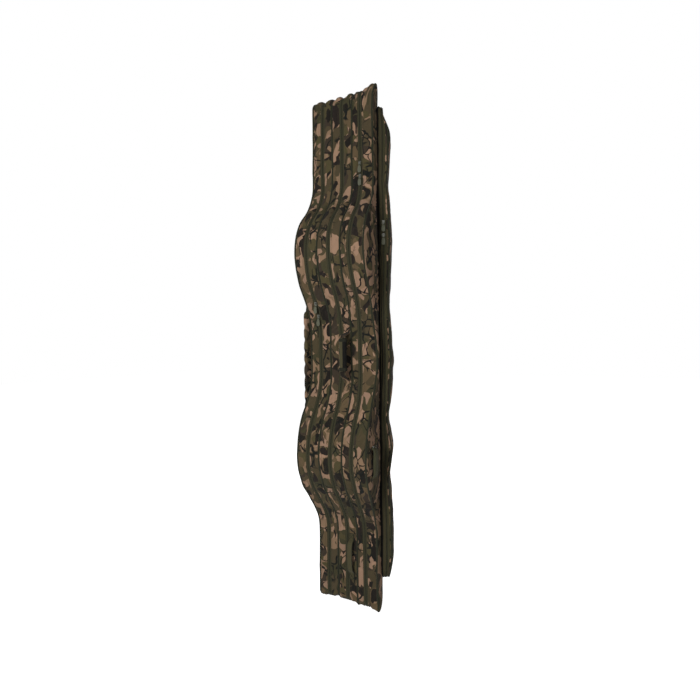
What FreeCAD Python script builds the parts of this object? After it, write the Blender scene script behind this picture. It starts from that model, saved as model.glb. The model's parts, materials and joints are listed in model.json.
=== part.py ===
import FreeCAD, Part
import math
import os

# Rod holdall: three padded compartments hinged like the leaves of a book along one spine, each
# closed by its own zip, and a slimmer outer pocket. It stands on its butt end.
# Millimetres, +Z up along the rods. The zips and handles face -Y and the spine faces +Y.
# The leaves are stacked along X, from the rear leaf at -X to the outer pocket at +X.

# Side profile, seen along X
HEIGHT = 1940.0
SPINE_Y = 60.0
END_Y = -60.0  # zip side at the two slim ends
WAIST_Y = -80.0  # zip side between the two reel bulges
CREST_Y = -165.0  # zip side at the crest of a reel bulge
CRESTS = (567.0, 1347.0)
END_RUN = 270.0  # height from a crest to the straight end
WAIST_RUN = 330.0  # height from a crest to the waist
CORNER = 25.0

# Plan, seen along Z: every leaf is a share of the outer leaf's distance from the middle
PLAN_Y = (70.0, -60.0, -175.0)
PLAN_HALF = (73.0, 133.5, 150.0)
LEAVES = {"rear_panel": -1.0, "divider_1": -1 / 3, "divider_2": 1 / 3, "front_panel": 1.0}
ZIPS = {1: -2 / 3, 2: 0.0, 3: 0.6}

# Cloth, foam and trim
PANEL = 8.0
GUSSET = 4.0
TAPE_WIDTH = 11.0
TAPE = 2.0
ZIP_GAP = 0.6
TAPE_END_Y = 44.0  # the tapes stop here, and the spine is plain cloth
BINDING_WIDTH = 7.0
BINDING = 2.5
WEBBING = 2.5

# Inside each compartment
BUTT_PAD_TOP = 30.0
ROD_STRAP_HEIGHTS = (330.0, 1640.0)
ROD_STRAP = (-40.0, 25.0, 38.0)  # from Y, to Y, width along Z

# Zip sliders and their pull tabs
SLIDER = (10.0, 3.0, 13.0)
SLIDER_LIFT = 0.4
SLIDER_CORNER = 2.5
ARCH_R = 4.5
ARCH_HOLE_R = 2.6
ARCH_WIDTH = 3.0
PIN_R = 1.0
PIN_LENGTH = 8.0
PIN_OUT = 4.7  # the tab's pin stands this far out of the zip
TAB = (11.0, 3.0, 26.0)
TAB_CORNER = 4.0
TAB_ARM = 10.0
TAB_ARM_X = 3.0
TAB_ARM_SECTION = (1.8, 2.0)
TAB_LIFT = 1.2  # the leaf of a tab stands this much further out than its pin
ZIP_1_ANGLES = (22.5, 14.0)  # where the sliders of zip 1 lie on the arc above the waist
ZIP_2_HEIGHTS = (1000.0, 951.0)
ZIP_3_HEIGHTS = (1670.0, 1621.0)
POCKET_ZIP_HEIGHTS = (1446.0, 1397.0)

# Outer pocket, in the plane of the front panel
POCKET_TURN = 25.0
POCKET_SPINE_Y = 50.0
POCKET_WIDTH = 92.0
POCKET_Z = (117.0, 1862.0)
POCKET_CORNER = 36.0
POCKET_WALL = 3.0
POCKET_LEVELS = (18.0, 29.0, 40.5, 47.0, 52.0)  # base cloth, zip, cover tape, cover cloth, cover
POCKET_HINGE_Y = -12.0

# Carry handle over the middle compartment, grab strap below it
HANDLE_X = 27.0
HANDLE_WIDTH = 25.0
HANDLE_Z = 941.0
HANDLE_PATH = ((-92.0, 88.0), (-122.0, 60.0), (-122.0, -60.0), (-92.0, -88.0))
HANDLE_ANCHORS = (92.0, 126.0)
WRAP = (32.0, 21.0, 108.0)
WRAP_ROUND = 9.5
GRAB_PATH = ((-61.3, 88.0), (-61.3, 116.0), (-75.0, 140.0),
             (-75.0, 212.0), (-61.3, 236.0), (-61.3, 262.0))
GRAB_X = 25.0
GRAB_WIDTH = 24.0

# Side loop with a D-ring on the front panel
LOOP_Y = -105.0
LOOP_Z = 560.0
LOOP_WIDTH = 28.0
LOOP_PATH = ((1.4, -57.0), (1.4, -40.0), (21.0, -24.0), (21.0, 24.0), (1.4, 40.0), (1.4, 54.0))
LOOP_FOLD = 61.0
RING_WIRE = 1.6
RING_BAR = 2.0
FOLD_HOLE = 2.4
RING_WIDTH = 26.0
RING_DEPTH = 18.0
LOOP_TAB_WIDTH = 18.0  # webbing that holds the loop's ring
ON_PANEL = 0.1  # gap under webbing that lies on a panel

# Shoulder strap on the rear panel
STRAP_Y = -62.0
STRAP_Z = 917.0
STRAP_OUT = 11.0  # the rings hold the strap's line this far off the panel
STRAP_RING_Z = 373.0
STRAP_RING_DEPTH = 22.0
STRAP_TAB = (20.0, 42.0)  # width and length of the webbing that holds a ring
STRAP_WIDTH = 36.0
PAD = (22.0, 36.0, 52.0, 410.0)  # from, to, width, length
PAD_CORNER = 18.0
STRAP_PATH = ((11.0, 298.0), (11.0, 270.0), (37.5, 210.0),
              (37.5, -210.0), (11.0, -270.0), (11.0, -298.0))
EYE_R = 7.5
EYE_WIRE = 1.7
HOOK = (10.0, 13.0, 40.0)
HOOK_CORNER = 3.0
ADJUSTER = (7.0, 44.0, 26.0)

X_AXIS = FreeCAD.Vector(1, 0, 0)
Y_AXIS = FreeCAD.Vector(0, 1, 0)
Z_AXIS = FreeCAD.Vector(0, 0, 1)
ORIGIN = FreeCAD.Vector(0, 0, 0)
BEYOND = 400.0  # longer than half the bag's width
nodes = {}


def box(x, y, z):
    """Box between the pairs of limits x, y and z."""
    return Part.makeBox(x[1] - x[0], y[1] - y[0], z[1] - z[0], FreeCAD.Vector(x[0], y[0], z[0]))


def around(middle, size):
    return (middle - size / 2, middle + size / 2)


def closed_wire(curves):
    """Closed wire of the curves in order, with straight lines where they don't meet."""
    edges = []
    for curve, following in zip(curves, curves[1:] + curves[:1]):
        edges.append(curve.toShape())
        if curve.EndPoint.distanceToPoint(following.StartPoint) > 0.001:
            edges.append(Part.LineSegment(curve.EndPoint, following.StartPoint).toShape())
    return Part.Wire(edges)


def arc_yz(centre_y, centre_z, radius, start, end):
    """Arc seen along X, with angles in degrees from +Y towards +Z."""
    angles = [math.radians(a) for a in (start, (start + end) / 2, end)]
    return Part.Arc(*[FreeCAD.Vector(0, centre_y + radius * math.cos(a), centre_z + radius * math.sin(a))
                      for a in angles])


def step_turn(depth, run):
    """Radius and angle of each of the two equal arcs that step sideways by depth over run."""
    return (run ** 2 + depth ** 2) / (4 * depth), 2 * math.degrees(math.atan(depth / run))


def bulge(crest, below, above, inset):
    """Four arcs over a reel bulge, whose level and run below and above the crest are given."""
    arcs = []
    for (level, run), up in ((below, 1), (above, -1)):
        radius, angle = step_turn(level - CREST_Y, run)
        pair = [(level - radius, crest - up * run, radius + inset, 0, up * angle),
                (CREST_Y + radius, crest, radius - inset, 180 + up * angle, 180)]
        if up < 0:
            pair = [(y, z, r, end, start) for y, z, r, start, end in reversed(pair)]
        arcs += [arc_yz(*numbers) for numbers in pair]
    return arcs


def side_prism(inset):
    """Everything inside the side profile, moved in by inset, right across the bag."""
    corners = [(END_Y + CORNER, CORNER, 270, 180), (END_Y + CORNER, HEIGHT - CORNER, 180, 90),
               (SPINE_Y - CORNER, HEIGHT - CORNER, 90, 0), (SPINE_Y - CORNER, CORNER, 0, -90)]
    rounded = [arc_yz(y, z, CORNER - inset, start, end) for y, z, start, end in corners]
    end, waist = (END_Y, END_RUN), (WAIST_Y, WAIST_RUN)
    bulges = bulge(CRESTS[0], end, waist, inset) + bulge(CRESTS[1], waist, end, inset)
    curves = rounded[:1] + bulges + rounded[1:]
    face = Part.Face(closed_wire(curves))
    face.translate(FreeCAD.Vector(-BEYOND, 0, 0))
    return face.extrude(FreeCAD.Vector(2 * BEYOND, 0, 0))


def plan_curve(share, shift=0.0):
    """Plan curve of the leaf at a share of the half width, moved along X by shift."""
    spots = [FreeCAD.Vector(share * half + shift, y, 0) for half, y in zip(PLAN_HALF, PLAN_Y)]
    if share == 0:
        return Part.LineSegment(spots[0], spots[2])
    return Part.Arc(*spots)


def plan_x(share, y, shift=0.0):
    """X of a plan curve at y."""
    if share == 0:
        return shift
    curve = plan_curve(share, shift).toShape().Curve
    return curve.Center.x + math.copysign(math.sqrt(curve.Radius ** 2 - (y - curve.Center.y) ** 2), share)


def plan_slope(share, y):
    """Angle in degrees between a leaf and the Y axis at y."""
    return math.degrees(math.atan((plan_x(share, y - 1) - plan_x(share, y + 1)) / 2))


def plan_slab(left, right):
    """Everything between two plan curves, each given as (share, shift), from below to above the bag."""
    first, second = plan_curve(*left), plan_curve(*right)
    edges = [first.toShape(), Part.LineSegment(first.EndPoint, second.EndPoint).toShape(), second.toShape(),
             Part.LineSegment(second.StartPoint, first.StartPoint).toShape()]
    face = Part.Face(Part.Wire(edges))
    face.translate(FreeCAD.Vector(0, 0, -CORNER))
    return face.extrude(FreeCAD.Vector(0, 0, HEIGHT + 2 * CORNER))


def ribbon(path, thickness, width, flat_axis):
    """Webbing along a path in the plane across flat_axis ("x": YZ path, "y": XZ path), round ended."""
    along = X_AXIS if flat_axis == "x" else Y_AXIS
    spots = [FreeCAD.Vector(0, *p) if flat_axis == "x" else FreeCAD.Vector(p[0], 0, p[1]) for p in path]
    spine = Part.makePolygon(spots)
    face = Part.Face(spine.makeOffset2D(thickness / 2))
    face.translate(along * (-width / 2))
    return face.extrude(along * width)


def ring(width, depth, wire):
    """D-ring hanging from the Y axis, its bar on that axis and its bow below it."""
    half = width / 2
    shoulder = half - depth
    bow = Part.makeTorus(half, wire, FreeCAD.Vector(0, 0, shoulder), X_AXIS)
    bow = bow.common(box((-2 * wire, 2 * wire), (-width, width), (shoulder - width, shoulder)))
    shape = Part.makeCylinder(RING_BAR, width + 4 * wire, FreeCAD.Vector(0, -half - 2 * wire, 0), Y_AXIS)
    for y in (-half, half):
        shape = shape.fuse(Part.makeCylinder(wire, -shoulder, FreeCAD.Vector(0, y, shoulder), Z_AXIS))
    return shape.fuse(bow)


def fold(width, out, z):
    """Loop of webbing that a ring's bar lies in, its hole along Y."""
    start = FreeCAD.Vector(out, -width / 2, z)
    tube = Part.makeCylinder(FOLD_HOLE + WEBBING, width, start, Y_AXIS)
    return tube.cut(Part.makeCylinder(FOLD_HOLE, width, start, Y_AXIS))


def on_front(shape, y):
    """Move a shape built on the plane X=0 onto the front panel's outer face at y."""
    shape.rotate(ORIGIN, Z_AXIS, plan_slope(1, y))
    shape.translate(FreeCAD.Vector(plan_x(1, y, PANEL / 2), y, 0))
    return shape


def on_rear(shape, y, z):
    """Move a shape built on the plane X=0 onto the rear panel's outer face at y, at height z."""
    shape = shape.mirror(ORIGIN, X_AXIS)
    shape.rotate(ORIGIN, Z_AXIS, -plan_slope(1, y))
    shape.translate(FreeCAD.Vector(plan_x(-1, y, -PANEL / 2), y, z))
    return shape


def make_leaves():
    """Padded panels with their bindings."""
    inside = side_prism(0)
    edge = side_prism(-BINDING).cut(inside).common(box((-BEYOND, BEYOND), (-BEYOND, BEYOND), (0, 2 * HEIGHT)))
    for name, share in LEAVES.items():
        nodes[name] = inside.common(plan_slab((share, -PANEL / 2), (share, PANEL / 2)))
        strip = plan_slab((share, -BINDING_WIDTH / 2), (share, BINDING_WIDTH / 2))
        nodes[name.replace("_panel", "") + "_binding"] = edge.common(strip)


def make_gussets():
    """Side walls and zip tapes of the three compartments, split along their zips."""
    wall = side_prism(0).cut(side_prism(GUSSET))
    thin = side_prism(0).cut(side_prism(TAPE))
    spine = box((-BEYOND, BEYOND), (TAPE_END_Y, BEYOND), (-BEYOND, 2 * HEIGHT))
    shares = list(LEAVES.values())
    for number, middle in ZIPS.items():
        for side, share, sign in (("rear", shares[number - 1], 1), ("front", shares[number], -1)):
            leaf = (share, sign * PANEL / 2)
            tape = (middle, -sign * (ZIP_GAP / 2 + TAPE_WIDTH))
            seam = (middle, -sign * ZIP_GAP / 2)
            cloth = wall.common(plan_slab(*sorted([leaf, tape], reverse=sign < 0)))
            joining = wall.common(plan_slab(*sorted([tape, seam], reverse=sign < 0)))
            nodes[f"gusset_{number}_{side}"] = cloth.fuse(joining.common(spine)).removeSplitter()
            nodes[f"zip_{number}_{side}_tape"] = thin.common(
                plan_slab(*sorted([tape, seam], reverse=sign < 0))).cut(spine)


def make_inside():
    """Foam butt pads on the compartment floors, and the straps that hold the rods."""
    hollow = side_prism(GUSSET + 0.5)
    shares = list(LEAVES.values())
    for number, middle in ZIPS.items():
        leaf = shares[number - 1]
        floor = box((-BEYOND, BEYOND), (-BEYOND, BEYOND), (0, BUTT_PAD_TOP))
        pad = plan_slab((leaf, PANEL / 2 + 0.5), (middle, -ZIP_GAP - TAPE))
        nodes[f"butt_pad_{number}"] = hollow.common(floor).common(pad)
        band = plan_slab((leaf, PANEL / 2), (leaf, PANEL / 2 + WEBBING))
        straps = [band.common(box((-BEYOND, BEYOND), ROD_STRAP[:2], around(z, ROD_STRAP[2])))
                  for z in ROD_STRAP_HEIGHTS]
        nodes[f"rod_straps_{number}"] = Part.makeCompound(straps)


def slider_shape():
    """Zip slider on the plane Y=0, with the arch that its tab hangs from."""
    wide, thick, tall = SLIDER
    outer = -SLIDER_LIFT - thick
    plate = box(around(0, wide), (outer, -SLIDER_LIFT), around(0, tall))
    corners = [edge for edge in plate.Edges if abs(edge.tangentAt(0).y) > 0.9]
    plate = plate.makeFillet(SLIDER_CORNER, corners)
    base = FreeCAD.Vector(-ARCH_WIDTH / 2, outer, 0)
    arch = Part.makeCylinder(ARCH_R, ARCH_WIDTH, base, X_AXIS).cut(
        Part.makeCylinder(ARCH_HOLE_R, ARCH_WIDTH, base, X_AXIS))
    arch = arch.common(box((-wide, wide), (2 * outer - ARCH_R, outer), (-tall, tall)))
    return plate.fuse(arch).removeSplitter()


def tab_shape():
    """Pull tab hanging from its pin, for the slider of slider_shape."""
    wide, thick, tall = TAB
    pin_y = -PIN_OUT
    pin = Part.makeCylinder(PIN_R, PIN_LENGTH, FreeCAD.Vector(-PIN_LENGTH / 2, pin_y, 0), X_AXIS)
    leaf = box(around(0, wide), around(pin_y - TAB_LIFT, thick), (-TAB_ARM - tall, -TAB_ARM))
    corners = [edge for edge in leaf.Edges if abs(edge.tangentAt(0).y) > 0.9]
    leaf = leaf.makeFillet(TAB_CORNER, corners)
    arm_wide, arm_thick = TAB_ARM_SECTION
    for side in (-1, 1):
        arm_x = around(side * TAB_ARM_X, arm_wide)
        pin = pin.fuse(box(arm_x, around(pin_y, arm_thick), (-TAB_ARM - arm_thick, PIN_R / 2)))
    return pin.fuse(leaf).removeSplitter()


def place_slider(name, x, y, z, tilt=0.0, turn=0.0):
    """Put a slider and its tab on a wall at x, y, z; tilt leans the wall back, turn swings it round Z."""
    slider = slider_shape()
    slider.rotate(ORIGIN, X_AXIS, tilt)
    tab = tab_shape()
    lean = math.radians(tilt)
    tab.translate(FreeCAD.Vector(0, PIN_OUT - PIN_OUT * math.cos(lean), -PIN_OUT * math.sin(lean)))
    for shape, kind in ((slider, "slider"), (tab, "tab")):
        shape.rotate(ORIGIN, Z_AXIS, turn)
        shape.translate(FreeCAD.Vector(x, y, z))
        nodes[f"{name}_{kind}"] = shape


def make_sliders():
    """Two sliders on every zip, with the tabs hanging down."""
    radius, _ = step_turn(WAIST_Y - CREST_Y, WAIST_RUN)
    for end, angle in zip(("upper", "lower"), ZIP_1_ANGLES):
        y = WAIST_Y - radius + radius * math.cos(math.radians(angle))
        z = CRESTS[1] - WAIST_RUN + radius * math.sin(math.radians(angle))
        place_slider(f"zip_1_{end}", plan_x(ZIPS[1], y), y, z, tilt=angle)
    for end, z in zip(("upper", "lower"), ZIP_2_HEIGHTS):
        place_slider(f"zip_2_{end}", plan_x(ZIPS[2], WAIST_Y), WAIST_Y, z)
    for end, z in zip(("upper", "lower"), ZIP_3_HEIGHTS):
        place_slider(f"zip_3_{end}", plan_x(ZIPS[3], END_Y), END_Y, z)
    for end, z in zip(("upper", "lower"), POCKET_ZIP_HEIGHTS):
        place_slider(f"pocket_zip_{end}", *pocket_point(POCKET_LEVELS[1], -POCKET_WIDTH), z, turn=POCKET_TURN)


def pocket_point(out, y):
    """X and Y of a point given in the pocket's own plane: out of the panel, and along it."""
    turn = math.radians(POCKET_TURN)
    start = plan_x(1, POCKET_SPINE_Y, PANEL / 2)
    return (start + out * math.cos(turn) - y * math.sin(turn),
            POCKET_SPINE_Y + out * math.sin(turn) + y * math.cos(turn))


def pocket_block(out, inset):
    """Block of the pocket's outline, between two distances out of the panel."""
    block = box(out, (-POCKET_WIDTH + inset, -inset), (POCKET_Z[0] + inset, POCKET_Z[1] - inset))
    corners = [edge for edge in block.Edges if abs(edge.tangentAt(0).x) > 0.9]
    return block.makeFillet(POCKET_CORNER - inset, corners)


def make_pocket():
    """Outer pocket: base wall on the front panel, cover wall and cover, with a zip between them."""
    base, seam, tape, cloth, cover = POCKET_LEVELS
    hinge = box((-BEYOND, BEYOND), (POCKET_HINGE_Y, BEYOND), (0, HEIGHT))
    ways = {"pocket_base_gusset": ((-CORNER, base), (base, seam)),
            "pocket_cover_gusset": ((tape, cloth), (seam + ZIP_GAP, tape))}
    for name, (plain, zipped) in ways.items():
        wall = pocket_block(plain, 0).cut(pocket_block(plain, POCKET_WALL))
        beside = pocket_block(zipped, 0).cut(pocket_block(zipped, POCKET_WALL))
        nodes[name] = wall.fuse(beside.common(hinge)).removeSplitter()
        strip = pocket_block(zipped, 0).cut(pocket_block(zipped, TAPE)).cut(hinge)
        nodes[name.replace("gusset", "tape")] = strip
    nodes["pocket_cover"] = pocket_block((cloth, cover), 0)
    rim = around((cloth + cover) / 2, BINDING_WIDTH)
    nodes["pocket_binding"] = pocket_block(rim, -BINDING).cut(pocket_block(rim, 0))
    x, y = pocket_point(0, 0)
    for name in [n for n in nodes if n.startswith("pocket")]:
        nodes[name].rotate(ORIGIN, Z_AXIS, POCKET_TURN)
        nodes[name].translate(FreeCAD.Vector(x, y, 0))
    nodes["pocket_base_gusset"] = nodes["pocket_base_gusset"].cut(plan_slab((0.5, 0), (1, PANEL / 2)))


def make_handles():
    """Carry handle with its sewn ends and wrap, and the flat grab strap below it."""
    across = around(HANDLE_X, HANDLE_WIDTH)
    skin = side_prism(-WEBBING).cut(side_prism(0))
    ends = [skin.common(box(across, (-BEYOND, 0), sorted([HANDLE_Z + side * d for d in HANDLE_ANCHORS])))
            for side in (-1, 1)]
    nodes["carry_handle_anchors"] = Part.makeCompound(ends)
    bail = ribbon([(y, HANDLE_Z + z) for y, z in HANDLE_PATH], WEBBING, HANDLE_WIDTH, "x")
    bail.translate(X_AXIS * HANDLE_X)
    wide, deep, tall = WRAP
    wrap = box(around(HANDLE_X, wide), around(HANDLE_PATH[1][0], deep), around(HANDLE_Z, tall))
    uprights = [edge for edge in wrap.Edges if abs(edge.tangentAt(0).z) > 0.9]
    wrap = wrap.makeFillet(WRAP_ROUND, uprights)
    nodes["carry_handle_webbing"] = bail
    nodes["carry_handle_wrap"] = wrap.cut(bail)
    grab = ribbon(GRAB_PATH, WEBBING, GRAB_WIDTH, "x")
    grab.translate(X_AXIS * GRAB_X)
    nodes["grab_strap"] = grab


def make_side_loop():
    """Webbing loop on the front panel, with a D-ring in a fold at its top end."""
    loop = ribbon([(out, LOOP_Z + z) for out, z in LOOP_PATH], WEBBING, LOOP_WIDTH, "y")
    out = FOLD_HOLE + WEBBING + ON_PANEL
    sleeve = fold(LOOP_TAB_WIDTH, out, LOOP_Z + LOOP_FOLD)
    strip_z = (LOOP_Z + LOOP_PATH[-1][1] - WEBBING, LOOP_Z + LOOP_FOLD)
    strip = box((ON_PANEL, ON_PANEL + WEBBING), around(0, LOOP_TAB_WIDTH), strip_z)
    start = FreeCAD.Vector(out, -RING_WIDTH / 2, LOOP_Z + LOOP_FOLD)
    hole = Part.makeCylinder(FOLD_HOLE, RING_WIDTH, start, Y_AXIS)
    nodes["side_loop"] = on_front(loop.fuse(sleeve).fuse(strip).cut(hole).removeSplitter(), LOOP_Y)
    hoop = ring(RING_WIDTH, RING_DEPTH, RING_WIRE)
    hoop.translate(FreeCAD.Vector(out, 0, LOOP_Z + LOOP_FOLD))
    nodes["side_ring"] = on_front(hoop, LOOP_Y)


def make_shoulder_strap():
    """Padded shoulder strap, hooked to two D-rings on the rear panel."""
    tabs, hoops, hooks = [], [], []
    for side in (1, -1):
        tab_wide, tab_long = STRAP_TAB
        sleeve = fold(tab_wide, STRAP_OUT, side * STRAP_RING_Z)
        ends = sorted([side * STRAP_RING_Z, side * (STRAP_RING_Z + tab_long)])
        patch = box((ON_PANEL, ON_PANEL + WEBBING), around(0, tab_wide), ends)
        rise = around(side * (STRAP_RING_Z + FOLD_HOLE), WEBBING)
        web = box((ON_PANEL, STRAP_OUT), around(0, tab_wide), rise)
        start = FreeCAD.Vector(STRAP_OUT, -BEYOND / 2, side * STRAP_RING_Z)
        hole = Part.makeCylinder(FOLD_HOLE, BEYOND, start, Y_AXIS)
        tabs.append(patch.fuse(web).fuse(sleeve).cut(hole).removeSplitter())
        hoop = ring(RING_WIDTH, STRAP_RING_DEPTH, RING_WIRE)
        eye_z = STRAP_RING_Z - STRAP_RING_DEPTH - EYE_R + EYE_WIRE + RING_BAR
        eye = Part.makeTorus(EYE_R, EYE_WIRE, FreeCAD.Vector(STRAP_OUT, 0, side * eye_z), Y_AXIS)
        thick, wide, tall = HOOK
        stem_top = eye_z - EYE_R
        stem_z = sorted([side * stem_top, side * (stem_top - tall)])
        stem = box(around(STRAP_OUT, thick), around(0, wide), stem_z)
        uprights = [edge for edge in stem.Edges if abs(edge.tangentAt(0).z) > 0.9]
        stem = stem.makeFillet(HOOK_CORNER, uprights)
        if side < 0:
            hoop.rotate(ORIGIN, Y_AXIS, 180)
        hoop.translate(FreeCAD.Vector(STRAP_OUT, 0, side * STRAP_RING_Z))
        hoops.append(hoop)
        hooks.append(eye.fuse(stem).removeSplitter())
    webbing = ribbon(STRAP_PATH, WEBBING, STRAP_WIDTH, "y")
    hooks = [hook.cut(webbing) for hook in hooks]
    low, high, wide, tall = PAD
    pad = box((low, high), around(0, wide), around(0, tall))
    pad = pad.makeFillet(PAD_CORNER, [edge for edge in pad.Edges if abs(edge.tangentAt(0).x) > 0.9])
    adjuster = box(*[around(0, size) for size in ADJUSTER])
    (high_out, high_z), (low_out, low_z) = STRAP_PATH[3:5]
    adjuster.rotate(ORIGIN, Y_AXIS, math.degrees(math.atan2(low_out - high_out, low_z - high_z)) - 180)
    adjuster.translate(FreeCAD.Vector((high_out + low_out) / 2, 0, (high_z + low_z) / 2))
    strap = {"strap_pad": pad, "strap_webbing": webbing, "strap_adjuster": adjuster.cut(webbing),
             "strap_hooks": Part.makeCompound(hooks), "strap_rings": Part.makeCompound(hoops),
             "strap_ring_tabs": Part.makeCompound(tabs)}
    for name, shape in strap.items():
        nodes[name] = on_rear(shape, STRAP_Y, STRAP_Z)


def centred():
    """How far the bag moves to bring its box's middle over the origin."""
    whole = FreeCAD.BoundBox()
    for shape in nodes.values():
        whole.add(shape.BoundBox)
    return FreeCAD.Vector(-whole.Center.x, -whole.Center.y, 0)


def main():
    for make in (make_leaves, make_gussets, make_inside, make_pocket, make_sliders, make_handles,
                 make_side_loop, make_shoulder_strap):
        make()
    move = centred()
    os.makedirs("parts", exist_ok=True)
    for name, shape in nodes.items():
        shape.translate(move)
        shape.exportStep(f"parts/{name}.step")
        made = f"solids {len(shape.Solids)}  valid {shape.isValid()}  {shape.Volume / 1000:9.1f} cm3"
        print(f"{name:24s} {made}")
    print("moved", move, "nodes", len(nodes))
    return move


MOVE = main()
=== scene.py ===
import json
import math
import bmesh
import bpy
import numpy as np
from mathutils import Matrix, Vector


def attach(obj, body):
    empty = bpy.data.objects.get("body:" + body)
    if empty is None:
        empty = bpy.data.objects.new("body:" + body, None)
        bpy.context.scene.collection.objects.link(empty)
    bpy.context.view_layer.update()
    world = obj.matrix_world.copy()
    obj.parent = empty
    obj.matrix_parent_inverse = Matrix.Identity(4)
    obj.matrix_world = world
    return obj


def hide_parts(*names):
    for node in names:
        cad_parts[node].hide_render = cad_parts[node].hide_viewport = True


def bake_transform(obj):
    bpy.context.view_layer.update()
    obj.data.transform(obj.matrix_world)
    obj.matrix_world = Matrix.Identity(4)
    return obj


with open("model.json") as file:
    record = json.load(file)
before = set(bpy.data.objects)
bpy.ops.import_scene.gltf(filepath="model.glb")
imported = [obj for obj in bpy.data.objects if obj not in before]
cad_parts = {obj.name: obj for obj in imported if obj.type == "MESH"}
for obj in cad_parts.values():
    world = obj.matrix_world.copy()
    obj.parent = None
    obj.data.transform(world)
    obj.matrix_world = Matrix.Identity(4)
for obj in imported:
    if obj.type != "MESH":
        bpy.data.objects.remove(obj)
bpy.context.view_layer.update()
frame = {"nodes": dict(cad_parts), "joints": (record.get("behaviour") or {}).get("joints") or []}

# A camouflage rod holdall standing on its butt end. The numbers below are in millimetres in the
# bag's own frame, as in the CAD source. placed() turns points into the frame's metres.

# Side profile and plan
HEIGHT = 1940.0
SPINE_Y = 60.0
END_Y = -60.0
WAIST_Y = -80.0
CREST_Y = -165.0
CRESTS = (567.0, 1347.0)
END_RUN = 270.0
WAIST_RUN = 330.0
CORNER = 25.0
PLAN_Y = (70.0, -60.0, -175.0)
PLAN_HALF = (73.0, 133.5, 150.0)
LEAVES = {"rear_panel": -1.0, "divider_1": -1 / 3, "divider_2": 1 / 3, "front_panel": 1.0}
ZIPS = {1: -2 / 3, 2: 0.0, 3: 0.6}
LEAF_BODIES = ("rear_leaf", "leaf_1", "leaf_2", "front_leaf")

# Cloth and trim
PANEL = 8.0
GUSSET = 4.0
TAPE_WIDTH = 11.0
TAPE = 2.0
ZIP_GAP = 0.6
COIL_PITCH = 2.6
COIL_WIDTH = 2.9
TAPE_END_Y = 44.0
GUSSET_NIPS = ((1105, 150, 1.0), (760, 150, 0.8), (330, 120, 0.5), (1600, 140, 0.45))
BINDING_WIDTH = 7.0
BINDING = 2.5
WEBBING = 2.5

# Outer pocket, in its own plane: out of the panel, along it, and up
POCKET_TURN = 25.0
POCKET_SPINE_Y = 50.0
POCKET_WIDTH = 92.0
POCKET_Z = (104.0, 1888.0)
POCKET_CORNER = 36.0
POCKET_WALL = 3.0
POCKET_LEVELS = (18.0, 29.0, 40.5, 47.0, 52.0)
POCKET_HINGE_Y = -12.0
POCKET_NIPS = ((715, 125, 13), (490, 130, 12), (300, 190, 5), (1150, 150, 7), (1600, 190, 7))

# Handles and straps
HANDLE_X = 27.0
HANDLE_WIDTH = 25.0
HANDLE_Z = 941.0
HANDLE_OUT = -122.0
HANDLE_ANCHORS = (92.0, 126.0)
WRAP = (32.0, 21.0, 124.0)
WRAP_RISE = 11.0
WRAP_ASIDE = 7.0
GRAB_X = 25.0
GRAB_WIDTH = 24.0
GRAB_ENDS = (98.0, 272.0)
LOOP_Y = -105.0
LOOP_Z = 560.0
LOOP_WIDTH = 28.0
STRAP_Y = -62.0
STRAP_Z = 917.0
STRAP_WIDTH = 36.0
PAD = (22.0, 36.0, 52.0, 410.0)
TACKS = (-150, -103, -52, -3, 44, 92, 144)
ROD_STRAPS = {"lower": 330.0, "upper": 1640.0}

# Travel of the two sliders that end where the cloth is loose
ZIP_3_TRAVEL = 225.0
POCKET_TRAVEL = 360.0

SPINE_HINGE = next(j for j in frame["joints"] if j["name"] == "compartment_2_open")["pos_m"]
MOVE = np.array([SPINE_HINGE[0], SPINE_HINGE[1] - SPINE_Y / 1000, 0.0])


# ---------------------------------------------------------------- numbers

def placed(x, y, z):
    """Points of the bag's own frame in millimetres, as metres in the CAD frame."""
    x, y, z = np.broadcast_arrays(x, y, z)
    return np.stack([x, y, z], -1) / 1000 + MOVE


def noise2(a, b, seed, size_a, size_b=None):
    """Smooth noise from -1 to 1 over two coordinates, with blobs of the given sizes."""
    table = np.random.default_rng(seed).uniform(-1, 1, (128, 128))
    a, b = np.broadcast_arrays(np.asarray(a, float) / size_a, np.asarray(b, float) / (size_b or size_a))
    i, j = np.floor(a).astype(int), np.floor(b).astype(int)
    f, g = a - i, b - j
    f, g = f * f * (3 - 2 * f), g * g * (3 - 2 * g)
    at = lambda p, q: table[p % 128, q % 128]
    low = at(i, j) * (1 - f) + at(i + 1, j) * f
    high = at(i, j + 1) * (1 - f) + at(i + 1, j + 1) * f
    return low * (1 - g) + high * g


def ease(x):
    """0 below 0, 1 above 1, and smooth between."""
    x = np.clip(x, 0, 1)
    return x * x * (3 - 2 * x)


def hump(x, middle, half):
    """1 at the middle, falling smoothly to 0 at half to either side."""
    return np.clip(1 - ((np.asarray(x, float) - middle) / half) ** 2, 0, 1) ** 2


def travel_end(slider, travel):
    """Height in millimetres that a CAD slider reaches at the end of its travel."""
    heights = [vertex.co.z for vertex in frame["nodes"][slider].data.vertices]
    return (min(heights) + max(heights)) * 500 + travel


ZIP_3_END = travel_end("zip_3_upper_slider", ZIP_3_TRAVEL)
POCKET_END = travel_end("pocket_zip_upper_slider", POCKET_TRAVEL)


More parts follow.
